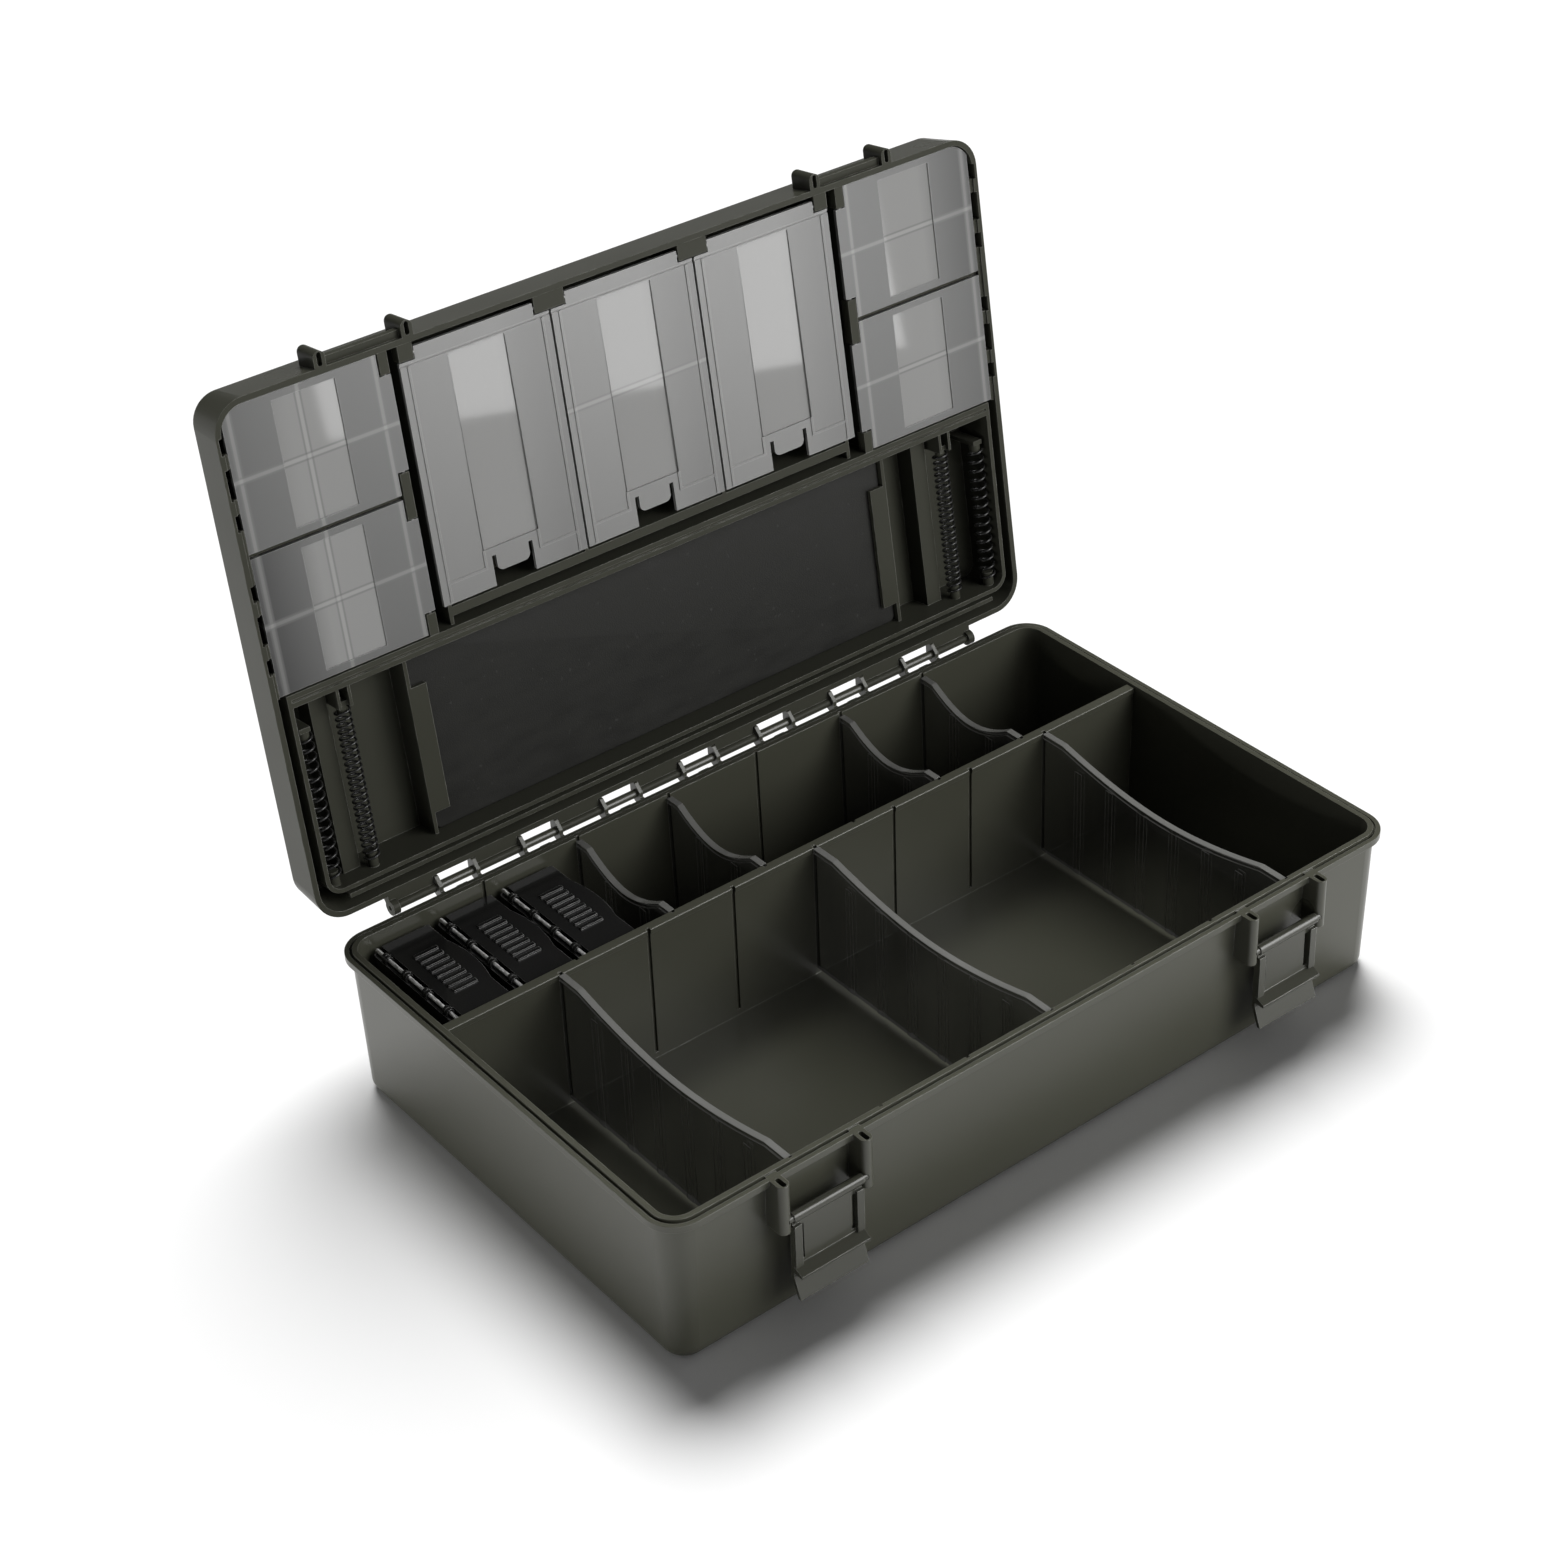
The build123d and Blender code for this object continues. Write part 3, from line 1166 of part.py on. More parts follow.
def make_spring(x, start_y, at_depth, radius, pitch, turns):
    """A coil spring as one unbroken tube along Y, with short straight ends."""
    steps = 2 * turns
    stations = [helix_point(radius, pitch, tau * step / 2) for step in range(steps + 1)]
    first, first_tangent = stations[0]
    last, last_tangent = stations[-1]
    edges = [Line(first - first_tangent * SPRING_WIRE, first)]
    for (point, tangent), (next_point, next_tangent) in zip(stations, stations[1:]):
        edges += biarc(point, tangent, next_point, next_tangent)
    edges.append(Line(last, last + last_tangent * SPRING_WIRE))
    path = Wire(edges)
    section_plane = Plane(origin=first - first_tangent * SPRING_WIRE, z_dir=first_tangent)
    section = section_plane * Circle(SPRING_WIRE / 2)
    return Pos(x, start_y, MATING_Z + at_depth) * sweep(section, path=path)


def spring_gap(radius, pitch):
    """The least clear distance between a spring's neighbouring turns, measured on points."""
    origin = helix_point(radius, pitch, 0)[0]
    samples = [helix_point(radius, pitch, tau * (0.5 + step / 100))[0] for step in range(101)]
    return min((point - origin).length for point in samples) - SPRING_WIRE


def make_outer_spring(side):
    """A spring beside the lid's end wall, closed."""
    return make_spring(
        side * OUTER_SPRING_X,
        OUTER_SPRING_START,
        OUTER_SPRING_DEPTH,
        OUTER_SPRING_RADIUS,
        OUTER_SPRING_PITCH,
        OUTER_SPRING_TURNS,
    )


def make_inner_spring(side):
    """A spring in its fork, closed."""
    return make_spring(
        side * INNER_SPRING_X,
        INNER_SPRING_START,
        INNER_SPRING_DEPTH,
        INNER_SPRING_RADIUS,
        INNER_SPRING_PITCH,
        INNER_SPRING_TURNS,
    )


# Every piece by name

pieces = {
    "base_tray": make_base_tray(),
    "hinge_pin": make_hinge_pin(),
    "latch_lever_left": make_left_lever(),
    "latch_lever_right": make_right_lever(),
}
for number, slot_index in enumerate(FRONT_DIVIDER_SLOTS, 1):
    pieces[f"front_divider_{number}"] = make_front_divider(slot_index)
for number, slot_index in enumerate(REAR_DIVIDER_SLOTS, 1):
    pieces[f"rear_divider_{number}"] = make_rear_divider(slot_index)
for index in range(MINI_COUNT):
    pieces[f"hook_box_{index + 1}"] = make_mini_box(index)
    pieces[f"hook_box_lid_{index + 1}"] = make_mini_lid(index)
    pieces[f"hook_box_pin_{index + 1}"] = make_mini_pin(index)
lid_pieces = {
    "lid_shell": make_lid_shell(),
    "rig_board": make_rig_board(),
}
for index in range(CENTRE_COVERS):
    lid_pieces[f"centre_cover_{index + 1}"] = make_centre_cover(index)
for side_name, side in (("left", -1), ("right", 1)):
    for place, span in zip(("rear", "front"), side_cover_spans()):
        lid_pieces[f"side_cover_{side_name}_{place}"] = make_side_cover(side, span)
    lid_pieces[f"outer_spring_{side_name}"] = make_outer_spring(side)
    lid_pieces[f"inner_spring_{side_name}"] = make_inner_spring(side)
for name, solid in lid_pieces.items():
    pieces[name] = open_lid(solid)

print("outer spring's least gap", round(spring_gap(OUTER_SPRING_RADIUS, OUTER_SPRING_PITCH), 2))
print("inner spring's least gap", round(spring_gap(INNER_SPRING_RADIUS, INNER_SPRING_PITCH), 2))
os.makedirs("parts", exist_ok=True)
for name, solid in pieces.items():
    export_step(solid, f"parts/{name}.step")
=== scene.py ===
"""Dresses an open tackle box: moulded plastic, smoky covers, coil springs, a foam board and a studio."""

import logging
import math
from dataclasses import dataclass, field
from enum import Enum

import bmesh
import bpy
from mathutils import Matrix, Vector

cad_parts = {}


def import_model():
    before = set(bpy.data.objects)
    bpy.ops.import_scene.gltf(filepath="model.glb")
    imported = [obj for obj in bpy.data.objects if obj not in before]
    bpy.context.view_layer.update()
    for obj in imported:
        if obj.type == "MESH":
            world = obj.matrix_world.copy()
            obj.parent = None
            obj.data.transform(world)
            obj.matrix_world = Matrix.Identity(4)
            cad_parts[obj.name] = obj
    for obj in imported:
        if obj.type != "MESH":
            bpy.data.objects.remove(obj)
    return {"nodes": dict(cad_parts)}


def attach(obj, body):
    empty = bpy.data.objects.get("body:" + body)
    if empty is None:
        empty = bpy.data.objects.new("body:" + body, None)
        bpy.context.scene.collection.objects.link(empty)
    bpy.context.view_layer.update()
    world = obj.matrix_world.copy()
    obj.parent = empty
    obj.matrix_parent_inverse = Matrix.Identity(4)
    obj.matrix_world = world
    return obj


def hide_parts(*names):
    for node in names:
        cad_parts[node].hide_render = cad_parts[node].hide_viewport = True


LOG = logging.getLogger("tackle_box")

Span = tuple[float, float]
Colour = tuple[float, float, float]
Place = tuple[float, float, float]
Nodes = dict[str, bpy.types.Object]
Value = bpy.types.NodeSocket | float
Paint = bpy.types.NodeSocket | Colour

MM = 0.001
WHOLE: Span = (0, 1)  # A mask's whole range.
INVERSE: Span = (1, 0)
MIDDLE: Span = (0.3, 0.7)  # Where most of a noise's values lie.
EDGE_TURN: Span = (0.995, 0.8)  # The cosines at which an edge's mask starts and is full.
FINE_EDGE = 0.0003  # The rounding of thin pieces' edges, in metres.
THIN_BLUR = 0.0001  # Half the soft border of a window's mask, in metres.
WALL_BLUR = 0.0003  # The same for the painted light and shade lines of walls seen through a cover.


class Side(Enum):
    """The two ends of the box, as signs along X."""

    LEFT = -1
    RIGHT = 1


@dataclass(frozen=True)
class OpenLid:
    """Where the lid's own measures lie once it stands open on its stop, in millimetres."""

    hinge_y: float = 112.85
    hinge_z: float = 67.0
    mating_z: float = 67.1
    angle: float = math.radians(98.25)

    def point(self, x: float, y: float, depth: float) -> Vector:
        """Turns a place in the closed lid into one in the open lid.

        Args:
            x: Place along the box.
            y: Place across the closed lid, growing towards the hinge.
            depth: Distance into the closed lid from its mating plane.

        Returns:
            The place in the row's frame, in metres.
        """
        across, up = y - self.hinge_y, self.mating_z + depth - self.hinge_z
        cosine, sine = math.cos(-self.angle), math.sin(-self.angle)
        return MM * Vector(
            (x, self.hinge_y + across * cosine - up * sine, self.hinge_z + across * sine + up * cosine)
        )

    def across(self) -> Vector:
        """The open lid's direction that is +Y when it is closed."""
        return (self.point(0, 1, 0) - self.point(0, 0, 0)).normalized()

    def inward(self) -> Vector:
        """The open lid's direction that points into it from its mating plane."""
        return (self.point(0, 0, 1) - self.point(0, 0, 0)).normalized()

    def measure(self, place: Vector) -> Place:
        """Turns a place in the open lid back into the closed lid's measures.

        Args:
            place: The place in the row's frame, in metres.

        Returns:
            Its x, y and depth, in millimetres.
        """
        offset = place - self.point(0, 0, 0)
        return place.x / MM, offset.dot(self.across()) / MM, offset.dot(self.inward()) / MM


LID = OpenLid()


class NodeTree:
    """A short way to write the node tree of a material or a world."""

    def __init__(self, owner: bpy.types.ID, output: str = "ShaderNodeOutputMaterial") -> None:
        """Empties the owner's node tree and gives it an output.

        Args:
            owner: The material or world.
            output: The output node's type.
        """
        owner.use_nodes = True
        self.owner = owner
        self.tree = owner.node_tree
        self.tree.nodes.clear()
        self.output = self.add(output)
        self._place: bpy.types.NodeSocket | None = None

    def add(self, kind: str, **settings: object) -> bpy.types.Node:
        """Adds a node and sets its properties.

        Args:
            kind: The node's type.
            **settings: Properties of the node and their values.

        Returns:
            The new node.
        """
        node = self.tree.nodes.new(kind)
        for key, value in settings.items():
            setattr(node, key, value)
        return node

    def feed(self, slot: bpy.types.NodeSocket, value: Value | Colour | Vector) -> None:
        """Gives an input its value.

        Args:
            slot: The input.
            value: A number, a colour as a tuple, a vector or an output to link to it.
        """
        if isinstance(value, bpy.types.NodeSocket):
            self.tree.links.new(value, slot)
        elif isinstance(value, tuple):
            slot.default_value = (*value, 1)
        else:
            slot.default_value = value

    def place(self) -> bpy.types.NodeSocket:
        """The surface's own coordinates, which move with the piece."""
        if self._place is None:
            self._place = self.add("ShaderNodeTexCoord").outputs["Object"]
        return self._place

    def noise(self, scale: float, detail: float = 2.0, stretch: Place = (1, 1, 1)) -> bpy.types.NodeSocket:
        """A soft random field.

        Args:
            scale: Features to the metre.
            detail: How many finer layers it has.
            stretch: A factor on the scale along each axis.

        Returns:
            Its value, about 0.5 on average.
        """
        texture = self.add("ShaderNodeTexNoise")
        texture.inputs["Scale"].default_value = scale
        texture.inputs["Detail"].default_value = detail
        mapping = self.add("ShaderNodeMapping")
        mapping.inputs["Scale"].default_value = stretch
        self.feed(mapping.inputs["Vector"], self.place())
        self.feed(texture.inputs["Vector"], mapping.outputs["Vector"])
        return texture.outputs["Fac"]

    def span(self, value: Value, source: Span, target: Span) -> bpy.types.NodeSocket:
        """Maps a value from one range to another, held at both ends.

        Args:
            value: What is mapped.
            source: The range it comes from.
            target: The range it goes to.

        Returns:
            The mapped value.
        """
        node = self.add("ShaderNodeMapRange")
        node.inputs["From Min"].default_value, node.inputs["From Max"].default_value = source
        node.inputs["To Min"].default_value, node.inputs["To Max"].default_value = target
        self.feed(node.inputs["Value"], value)
        return node.outputs["Result"]

    def maths(self, operation: str, *values: Value) -> bpy.types.NodeSocket:
        """One sum on numbers or outputs.

        Args:
            operation: The Math node's operation.
            *values: What it works on.

        Returns:
            The result.
        """
        node = self.add("ShaderNodeMath", operation=operation)
        for slot, value in zip(node.inputs, values):
            self.feed(slot, value)
        return node.outputs[0]

    def mix(self, share: Value, under: Paint, over: Paint) -> bpy.types.NodeSocket:
        """Mixes two colours.

        Args:
            share: 0 for the lower colour and 1 for the upper one.
            under: The lower colour.
            over: The upper colour.

        Returns:
            The mixed colour.
        """
        node = self.add("ShaderNodeMix", data_type="RGBA")
        for slot, value in (("A", under), ("B", over), ("Factor", share)):
            self.feed(node.inputs[slot], value)
        return node.outputs["Result"]

    def coat(self, mask: Value, share: float, under: Paint, over: Paint) -> bpy.types.NodeSocket:
        """Lays a colour over another where a mask is bright.

        Args:
            mask: Where the upper colour lies.
            share: How much of it shows where the mask is full.
            under: The lower colour.
            over: The upper colour.

        Returns:
            The mixed colour.
        """
        return self.mix(self.maths("MULTIPLY", mask, share), under, over)

    def dot(
        self, vector: bpy.types.NodeSocket, direction: bpy.types.NodeSocket | Vector
    ) -> bpy.types.NodeSocket:
        """A vector's length along a direction."""
        product = self.add("ShaderNodeVectorMath", operation="DOT_PRODUCT")
        self.feed(product.inputs[0], vector)
        self.feed(product.inputs[1], direction)
        return product.outputs["Value"]

    def facing(self, direction: Vector) -> bpy.types.NodeSocket:
        """How far the surface faces a direction of its own piece: 1 towards it and -1 away."""
        return self.dot(self.add("ShaderNodeTexCoord").outputs["Normal"], direction)

    def along(self, direction: Vector, origin: Vector) -> bpy.types.NodeSocket:
        """How far the surface lies from an origin along a direction, in metres."""
        shifted = self.add("ShaderNodeVectorMath", operation="SUBTRACT")
        self.feed(shifted.inputs[0], self.place())
        self.feed(shifted.inputs[1], origin)
        return self.dot(shifted.outputs["Vector"], direction)

    def within(self, value: Value, half: float, blur: float = THIN_BLUR) -> bpy.types.NodeSocket:
        """1 where a length is nearer to zero than half, and 0 outside, with a soft border between."""
        return self.span(self.maths("ABSOLUTE", value), (half - blur, half + blur), INVERSE)

    def rounded(self, radius: float) -> bpy.types.NodeSocket:
        """A normal that rounds the piece's edges to a small radius."""
        node = self.add("ShaderNodeBevel", samples=4)
        node.inputs["Radius"].default_value = radius
        return node.outputs["Normal"]

    def edges(self, softened: bpy.types.NodeSocket) -> bpy.types.NodeSocket:
        """A mask that is bright on edges, from a rounded normal."""
        flat = self.add("ShaderNodeNewGeometry").outputs["Normal"]
        return self.span(self.dot(softened, flat), EDGE_TURN, WHOLE)

    def bump(
        self, height: bpy.types.NodeSocket, distance: float, normal: bpy.types.NodeSocket | None = None
    ) -> bpy.types.NodeSocket:
        """A normal roughened by a height field.

        Args:
            height: The field.
            distance: How high it reaches, in metres.
            normal: The normal it starts from.

        Returns:
            The new normal.
        """
        node = self.add("ShaderNodeBump")
        node.inputs["Distance"].default_value = distance
        self.feed(node.inputs["Height"], height)
        if normal is not None:
            self.feed(node.inputs["Normal"], normal)
        return node.outputs["Normal"]

    def principled(self, **values: Value | Colour) -> bpy.types.Node:
        """Adds the main shader and sends it to the output.

        Args:
            **values: Its inputs, with underscores for spaces.

        Returns:
            The shader node.
        """
        shader = self.add("ShaderNodeBsdfPrincipled")
        for key, value in values.items():
            self.feed(shader.inputs[key.replace("_", " ")], value)
        self.feed(self.output.inputs["Surface"], shader.outputs[0])
        return shader


@dataclass(frozen=True)
class SatinMould:
    """Opaque moulded plastic with a spark-eroded skin and a painted highlight on its edges, broken up
    patchily like light wear.
    """

    name: str
    dark: Colour
    light: Colour
    # The edge colour is a painted highlight, laid along edges in patches like light wear.
    edge: Colour
    edge_highlight_share: float = 0.75
    edge_radius: float = 0.0004
    smooth: float = 0.25
    rough: float = 0.34
    gloss: float = 0.45
    flow_scale: float = 9
    flow_stretch: Place = (1, 1, 2.2)
    wear_scale: float = 160
    wear_source: Span = (0.35, 0.6)
    wear_share: Span = (0.3, 1)
    sheen_scale: float = 24
    grain_scale: float = 2600
    grain_height: float = 0.000009

    def material(self) -> bpy.types.Material:
        """Builds the finish as a material."""
        tree = NodeTree(bpy.data.materials.new(self.name))
        softened = tree.rounded(self.edge_radius)
        flow = tree.noise(self.flow_scale, detail=3, stretch=self.flow_stretch)
        wear = tree.span(tree.noise(self.wear_scale), self.wear_source, self.wear_share)
        # Painted edge highlight, patched by the wear noise.
        worn_highlit_edges = tree.maths("MULTIPLY", tree.edges(softened), wear)
        sheen = tree.noise(self.sheen_scale, detail=1)
        tree.principled(
            Base_Color=tree.coat(worn_highlit_edges, self.edge_highlight_share, tree.mix(flow, self.dark, self.light), self.edge),
            Roughness=tree.span(sheen, WHOLE, (self.smooth, self.rough)),
            Specular_IOR_Level=self.gloss,
            Normal=tree.bump(tree.noise(self.grain_scale), self.grain_height, softened),
        )
        return tree.owner


@dataclass(frozen=True)
class SmokySheet:
    """See-through tinted plastic, frosted by its mould, with a painted highlight on its upward faces and on
    its edges.
    """

    name: str
    tint: Colour
    # A painted highlight along edges, and another on upward faces.
    edge: Colour
    upward_highlight: Colour = (0.1, 0.1, 0.095)
    clear: float = 0.5
    cloudy: float = 0.62
    smooth: float = 0.12
    rough: float = 0.2
    edge_highlight_share: float = 0.35
    upward_span: Span = (0.2, 0.8)
    streak_scale: float = 30
    streak_stretch: Place = (1, 1, 0.3)
    sheen_scale: float = 90
    grain_scale: float = 700
    grain_height: float = 0.000004

    def material(self) -> bpy.types.Material:
        """Builds the finish as a material."""
        tree = NodeTree(bpy.data.materials.new(self.name))
        softened = tree.rounded(FINE_EDGE)
        edge = tree.edges(softened)
        # Upward faces get a painted highlight, as if lit from above.
        upward = tree.span(tree.facing(Vector((0, 0, 1))), self.upward_span, WHOLE)
        streaks = tree.noise(self.streak_scale, detail=3, stretch=self.streak_stretch)
        solid = tree.span(streaks, MIDDLE, (self.clear, self.cloudy))
        sheen = tree.noise(self.sheen_scale, detail=3)
        tree.principled(
            Base_Color=tree.mix(upward, tree.coat(edge, self.edge_highlight_share, self.tint, self.edge), self.upward_highlight),
            Roughness=tree.span(sheen, MIDDLE, (self.smooth, self.rough)),
            Alpha=tree.maths("MAXIMUM", tree.maths("MAXIMUM", solid, edge), upward),
            Normal=tree.bump(tree.noise(self.grain_scale), self.grain_height, softened),
        )
        return tree.owner


@dataclass(frozen=True)
class CoverSheet:
    """A bin cover: frosted smoky plastic round a polished window, with painted light and shade: the bin walls
    showing through as a pale line between dark ones, dark lines along the window's long sides, a darker side
    and a highlight on its edges.
    """

    name: str
    window_centre: Vector
    window_half: Span
    walls_across: tuple[float, ...] = ()
    walls_along: tuple[float, ...] = ()
    frosted: Colour = (0.15, 0.15, 0.146)
    # A painted shade darkens the cover towards one side, standing in for dark reflections; the span and share
    # say where and how much.
    shade_span: Span = (0.0, 1.0)
    shade: float = 0.0
    polished: Colour = (0.2, 0.2, 0.195)
    painted_shade_tone: Colour = (0.02, 0.02, 0.0195)
    # A painted highlight along the cover's edges.
    edge: Colour = (0.5, 0.5, 0.49)
    edge_highlight_share: float = 0.5
    # A bin wall seen through the cover: a pale line of painted light for its lit top between dark lines of
    # painted shade, whose colour also draws the window's side lines.
    wall: Colour = (0.33, 0.33, 0.32)
    wall_light_share: float = 0.28
    wall_half: float = 0.0008
    painted_shade_line: Colour = (0.1, 0.1, 0.098)
    painted_shade_line_share: float = 0.55
    painted_shade_line_half: float = 0.0015
    # The share of painted shade along the window's long sides.
    window_side_shade_share: float = 0.45
    rim_outside: float = 0.0005
    rim_inside: float = 0.0003
    frosted_cover: float = 0.88
    polished_cover: float = 0.84
    frosted_rough: float = 0.3
    polished_rough: float = 0.04
    bending: float = 1.62
    grain_scale: float = 2200
    grain_height: float = 0.00001

    def material(self) -> bpy.types.Material:
        """Builds the finish as a material."""
        tree = NodeTree(bpy.data.materials.new(self.name))
        origin, rightward, across = LID.point(0, 0, 0), Vector((1, 0, 0)), LID.across()
        place_x, place_y = tree.along(rightward, origin), tree.along(across, origin)
        from_x, from_y = (tree.along(direction, self.window_centre) for direction in (rightward, across))
        half_x, half_y = self.window_half
        window = tree.maths("MULTIPLY", tree.within(from_x, half_x), tree.within(from_y, half_y))
        edge = tree.edges(tree.rounded(FINE_EDGE))
        start, end = (MM * place for place in self.shade_span)
        # Painted shade towards one side of the cover.
        shaded = tree.span(place_x, (start, end), (0, self.shade))
        colour = tree.mix(shaded, tree.mix(window, self.frosted, self.polished), self.painted_shade_tone)
        # Bin walls seen through the cover, painted as lines of light and shade.
        for value, places in ((place_x, self.walls_across), (place_y, self.walls_along)):
            for place in places:
                colour = self.wall_line(tree, tree.maths("SUBTRACT", value, place * MM), colour)
        # Dark lines of painted shade along the window's long sides.
        colour = tree.coat(self.window_side_shade(tree, from_x, from_y), self.window_side_shade_share, colour, self.painted_shade_line)
        grain = tree.maths("MULTIPLY", tree.noise(self.grain_scale), tree.span(window, WHOLE, INVERSE))
        cover = tree.span(window, WHOLE, (self.frosted_cover, self.polished_cover))
        tree.principled(
            Base_Color=tree.coat(edge, self.edge_highlight_share, colour, self.edge),
            Roughness=tree.span(window, WHOLE, (self.frosted_rough, self.polished_rough)),
            IOR=self.bending,
            Alpha=tree.maths("MAXIMUM", cover, edge),
            Normal=tree.bump(grain, self.grain_height),
        )
        return tree.owner

    def wall_line(
        self, tree: NodeTree, offset: bpy.types.NodeSocket, under: bpy.types.NodeSocket
    ) -> bpy.types.NodeSocket:
        """Draws a bin wall seen through the cover in painted light and shade: a pale line of painted light
        for its lit top between two dark lines of painted shade.

        Args:
            tree: The finish's node tree.
            offset: How far the surface lies from the wall's middle, in metres.
            under: The colour beneath.

        Returns:
            The colour with the wall in it.
        """
        wall = tree.within(offset, self.wall_half, WALL_BLUR)
        painted_shade_line = tree.maths("SUBTRACT", tree.within(offset, self.painted_shade_line_half, WALL_BLUR), wall)
        return tree.coat(painted_shade_line, self.painted_shade_line_share, tree.coat(wall, self.wall_light_share, under, self.wall), self.painted_shade_line)

    def window_side_shade(
        self, tree: NodeTree, from_x: bpy.types.NodeSocket, from_y: bpy.types.NodeSocket
    ) -> bpy.types.NodeSocket:
        """A mask of the thin dark lines of painted shade along the window's long sides, where its sunk sides
        lie in shade.

        Args:
            tree: The finish's node tree.
            from_x: How far the surface lies from the window's middle along the box, in metres.
            from_y: The same across the lid.

        Returns:
            The mask.
        """
        half_x, half_y = self.window_half
        outer = tree.within(from_x, half_x + self.rim_outside)
        inner = tree.within(from_x, half_x - self.rim_inside)
        return tree.maths("MULTIPLY", tree.maths("SUBTRACT", outer, inner), tree.within(from_y, half_y))


@dataclass(frozen=True)
class BlackGloss:
    """Dark polished plastic of the hook boxes, with a painted highlight on its edges and ribs."""

    name: str
    dark: Colour = (0.006, 0.006, 0.006)
    light: Colour = (0.011, 0.011, 0.0105)
    # A painted highlight along edges and ribs.
    edge: Colour = (0.3, 0.3, 0.29)
    edge_highlight_share: float = 0.5
    smooth: float = 0.08
    rough: float = 0.16
    flow_scale: float = 40
    sheen_scale: float = 120
    grain_scale: float = 900
    grain_height: float = 0.000003

    def material(self) -> bpy.types.Material:
        """Builds the finish as a material."""
        tree = NodeTree(bpy.data.materials.new(self.name))
        softened = tree.rounded(FINE_EDGE)
        colour = tree.mix(tree.noise(self.flow_scale, detail=3), self.dark, self.light)
        sheen = tree.noise(self.sheen_scale, detail=4)
        tree.principled(
            Base_Color=tree.coat(tree.edges(softened), self.edge_highlight_share, colour, self.edge),
            Roughness=tree.span(sheen, MIDDLE, (self.smooth, self.rough)),
            Normal=tree.bump(tree.noise(self.grain_scale), self.grain_height, softened),
        )
        return tree.owner


@dataclass(frozen=True)
class BrightWire:
    """Drawn metal or dark coated wire with fine marks."""

    name: str
    dark: Colour
    light: Colour
    metal: float
    smooth: float
    rough: float
    stretch: Place = (1, 1, 1)
    mark_scale: float = 1400
    mark_source: Span = (0.35, 0.65)
    mark_height: float = 0.000006

    def material(self) -> bpy.types.Material:
        """Builds the finish as a material."""
        tree = NodeTree(bpy.data.materials.new(self.name))
        marks = tree.noise(self.mark_scale, detail=3, stretch=self.stretch)
        tree.principled(
            Base_Color=tree.mix(tree.span(marks, self.mark_source, WHOLE), self.dark, self.light),
            Metallic=self.metal,
            Roughness=tree.span(marks, MIDDLE, (self.smooth, self.rough)),
            Normal=tree.bump(marks, self.mark_height),
        )
        return tree.owner


@dataclass(frozen=True)
class Foam:
    """Closed-cell foam sheet with fine pores, faint scuffs and hook pricks."""

    name: str
    dark: Colour = (0.009, 0.009, 0.0078)
    light: Colour = (0.0145, 0.0145, 0.0128)
    prick: Colour = (0.035, 0.035, 0.033)
    prick_share: float = 0.5
    smooth: float = 0.62
    rough: float = 0.8
    gloss: float = 0.25
    pore_scale: float = 1700
    scuff_scale: float = 60
    scuff_stretch: Place = (1, 1, 3)
    scuff_source: Span = (0.35, 0.7)
    scuff_relief: float = 0.7
    prick_scale: float = 420
    prick_source: Span = (0.68, 0.74)
    relief_height: float = 0.00005

    def material(self) -> bpy.types.Material:
        """Builds the finish as a material."""
        tree = NodeTree(bpy.data.materials.new(self.name))
        pores = tree.add("ShaderNodeTexVoronoi", feature="F1")
        pores.inputs["Scale"].default_value = self.pore_scale
        tree.feed(pores.inputs["Vector"], tree.place())
        scuffs = tree.noise(self.scuff_scale, detail=5, stretch=self.scuff_stretch)
        pricks = tree.span(tree.noise(self.prick_scale, detail=3), self.prick_source, (0, self.prick_share))
        colour = tree.mix(tree.span(scuffs, self.scuff_source, WHOLE), self.dark, self.light)
        worn = tree.maths("MULTIPLY", scuffs, self.scuff_relief)
        relief = tree.maths("ADD", pores.outputs["Distance"], worn)
        tree.principled(
            Base_Color=tree.mix(pricks, colour, self.prick),
            Roughness=tree.span(scuffs, MIDDLE, (self.smooth, self.rough)),
            Specular_IOR_Level=self.gloss,
            Normal=tree.bump(relief, self.relief_height),
        )
        return tree.owner


def dress(nodes: Nodes, names: list[str], material: bpy.types.Material) -> None:
    """Gives carried-over pieces their finish.

    Args:
        nodes: The carried-over solids by name.
        names: The pieces' names.
        material: The finish.
    """
    for name in names:
        piece = nodes[name]
        piece.data.materials.clear()
        piece.data.materials.append(material)
        LOG.info("%s dressed in %s", name, material.name)


def add_object(name: str, data: bpy.types.ID) -> bpy.types.Object:
    """Makes an object of a mesh, light or camera and links it into the scene."""
    thing = bpy.data.objects.new(name, data)
    bpy.context.scene.collection.objects.link(thing)
    return thing


def smooth_mesh(bm: bmesh.types.BMesh, name: str) -> bpy.types.Mesh:
    """Turns a closed form into a smooth-shaded mesh, with its faces outward, and frees it."""
    bmesh.ops.recalc_face_normals(bm, faces=bm.faces)
    mesh = bpy.data.meshes.new(name)
    bm.to_mesh(mesh)
    bm.free()
    mesh.shade_smooth()
    return mesh


def new_piece(
    name: str, mesh: bpy.types.Mesh, body: str, material: bpy.types.Material
) -> bpy.types.Object:
    """Puts a new mesh into the scene on its body.

    Args:
        name: The piece's name.
        mesh: Its mesh, in the row's frame.
        body: The body it rides on.
        material: Its finish.

    Returns:
        The new object.
    """
    piece = add_object(name, mesh)
    mesh.materials.append(material)
    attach(piece, body)
    LOG.info("%s built on %s", name, body)
    return piece


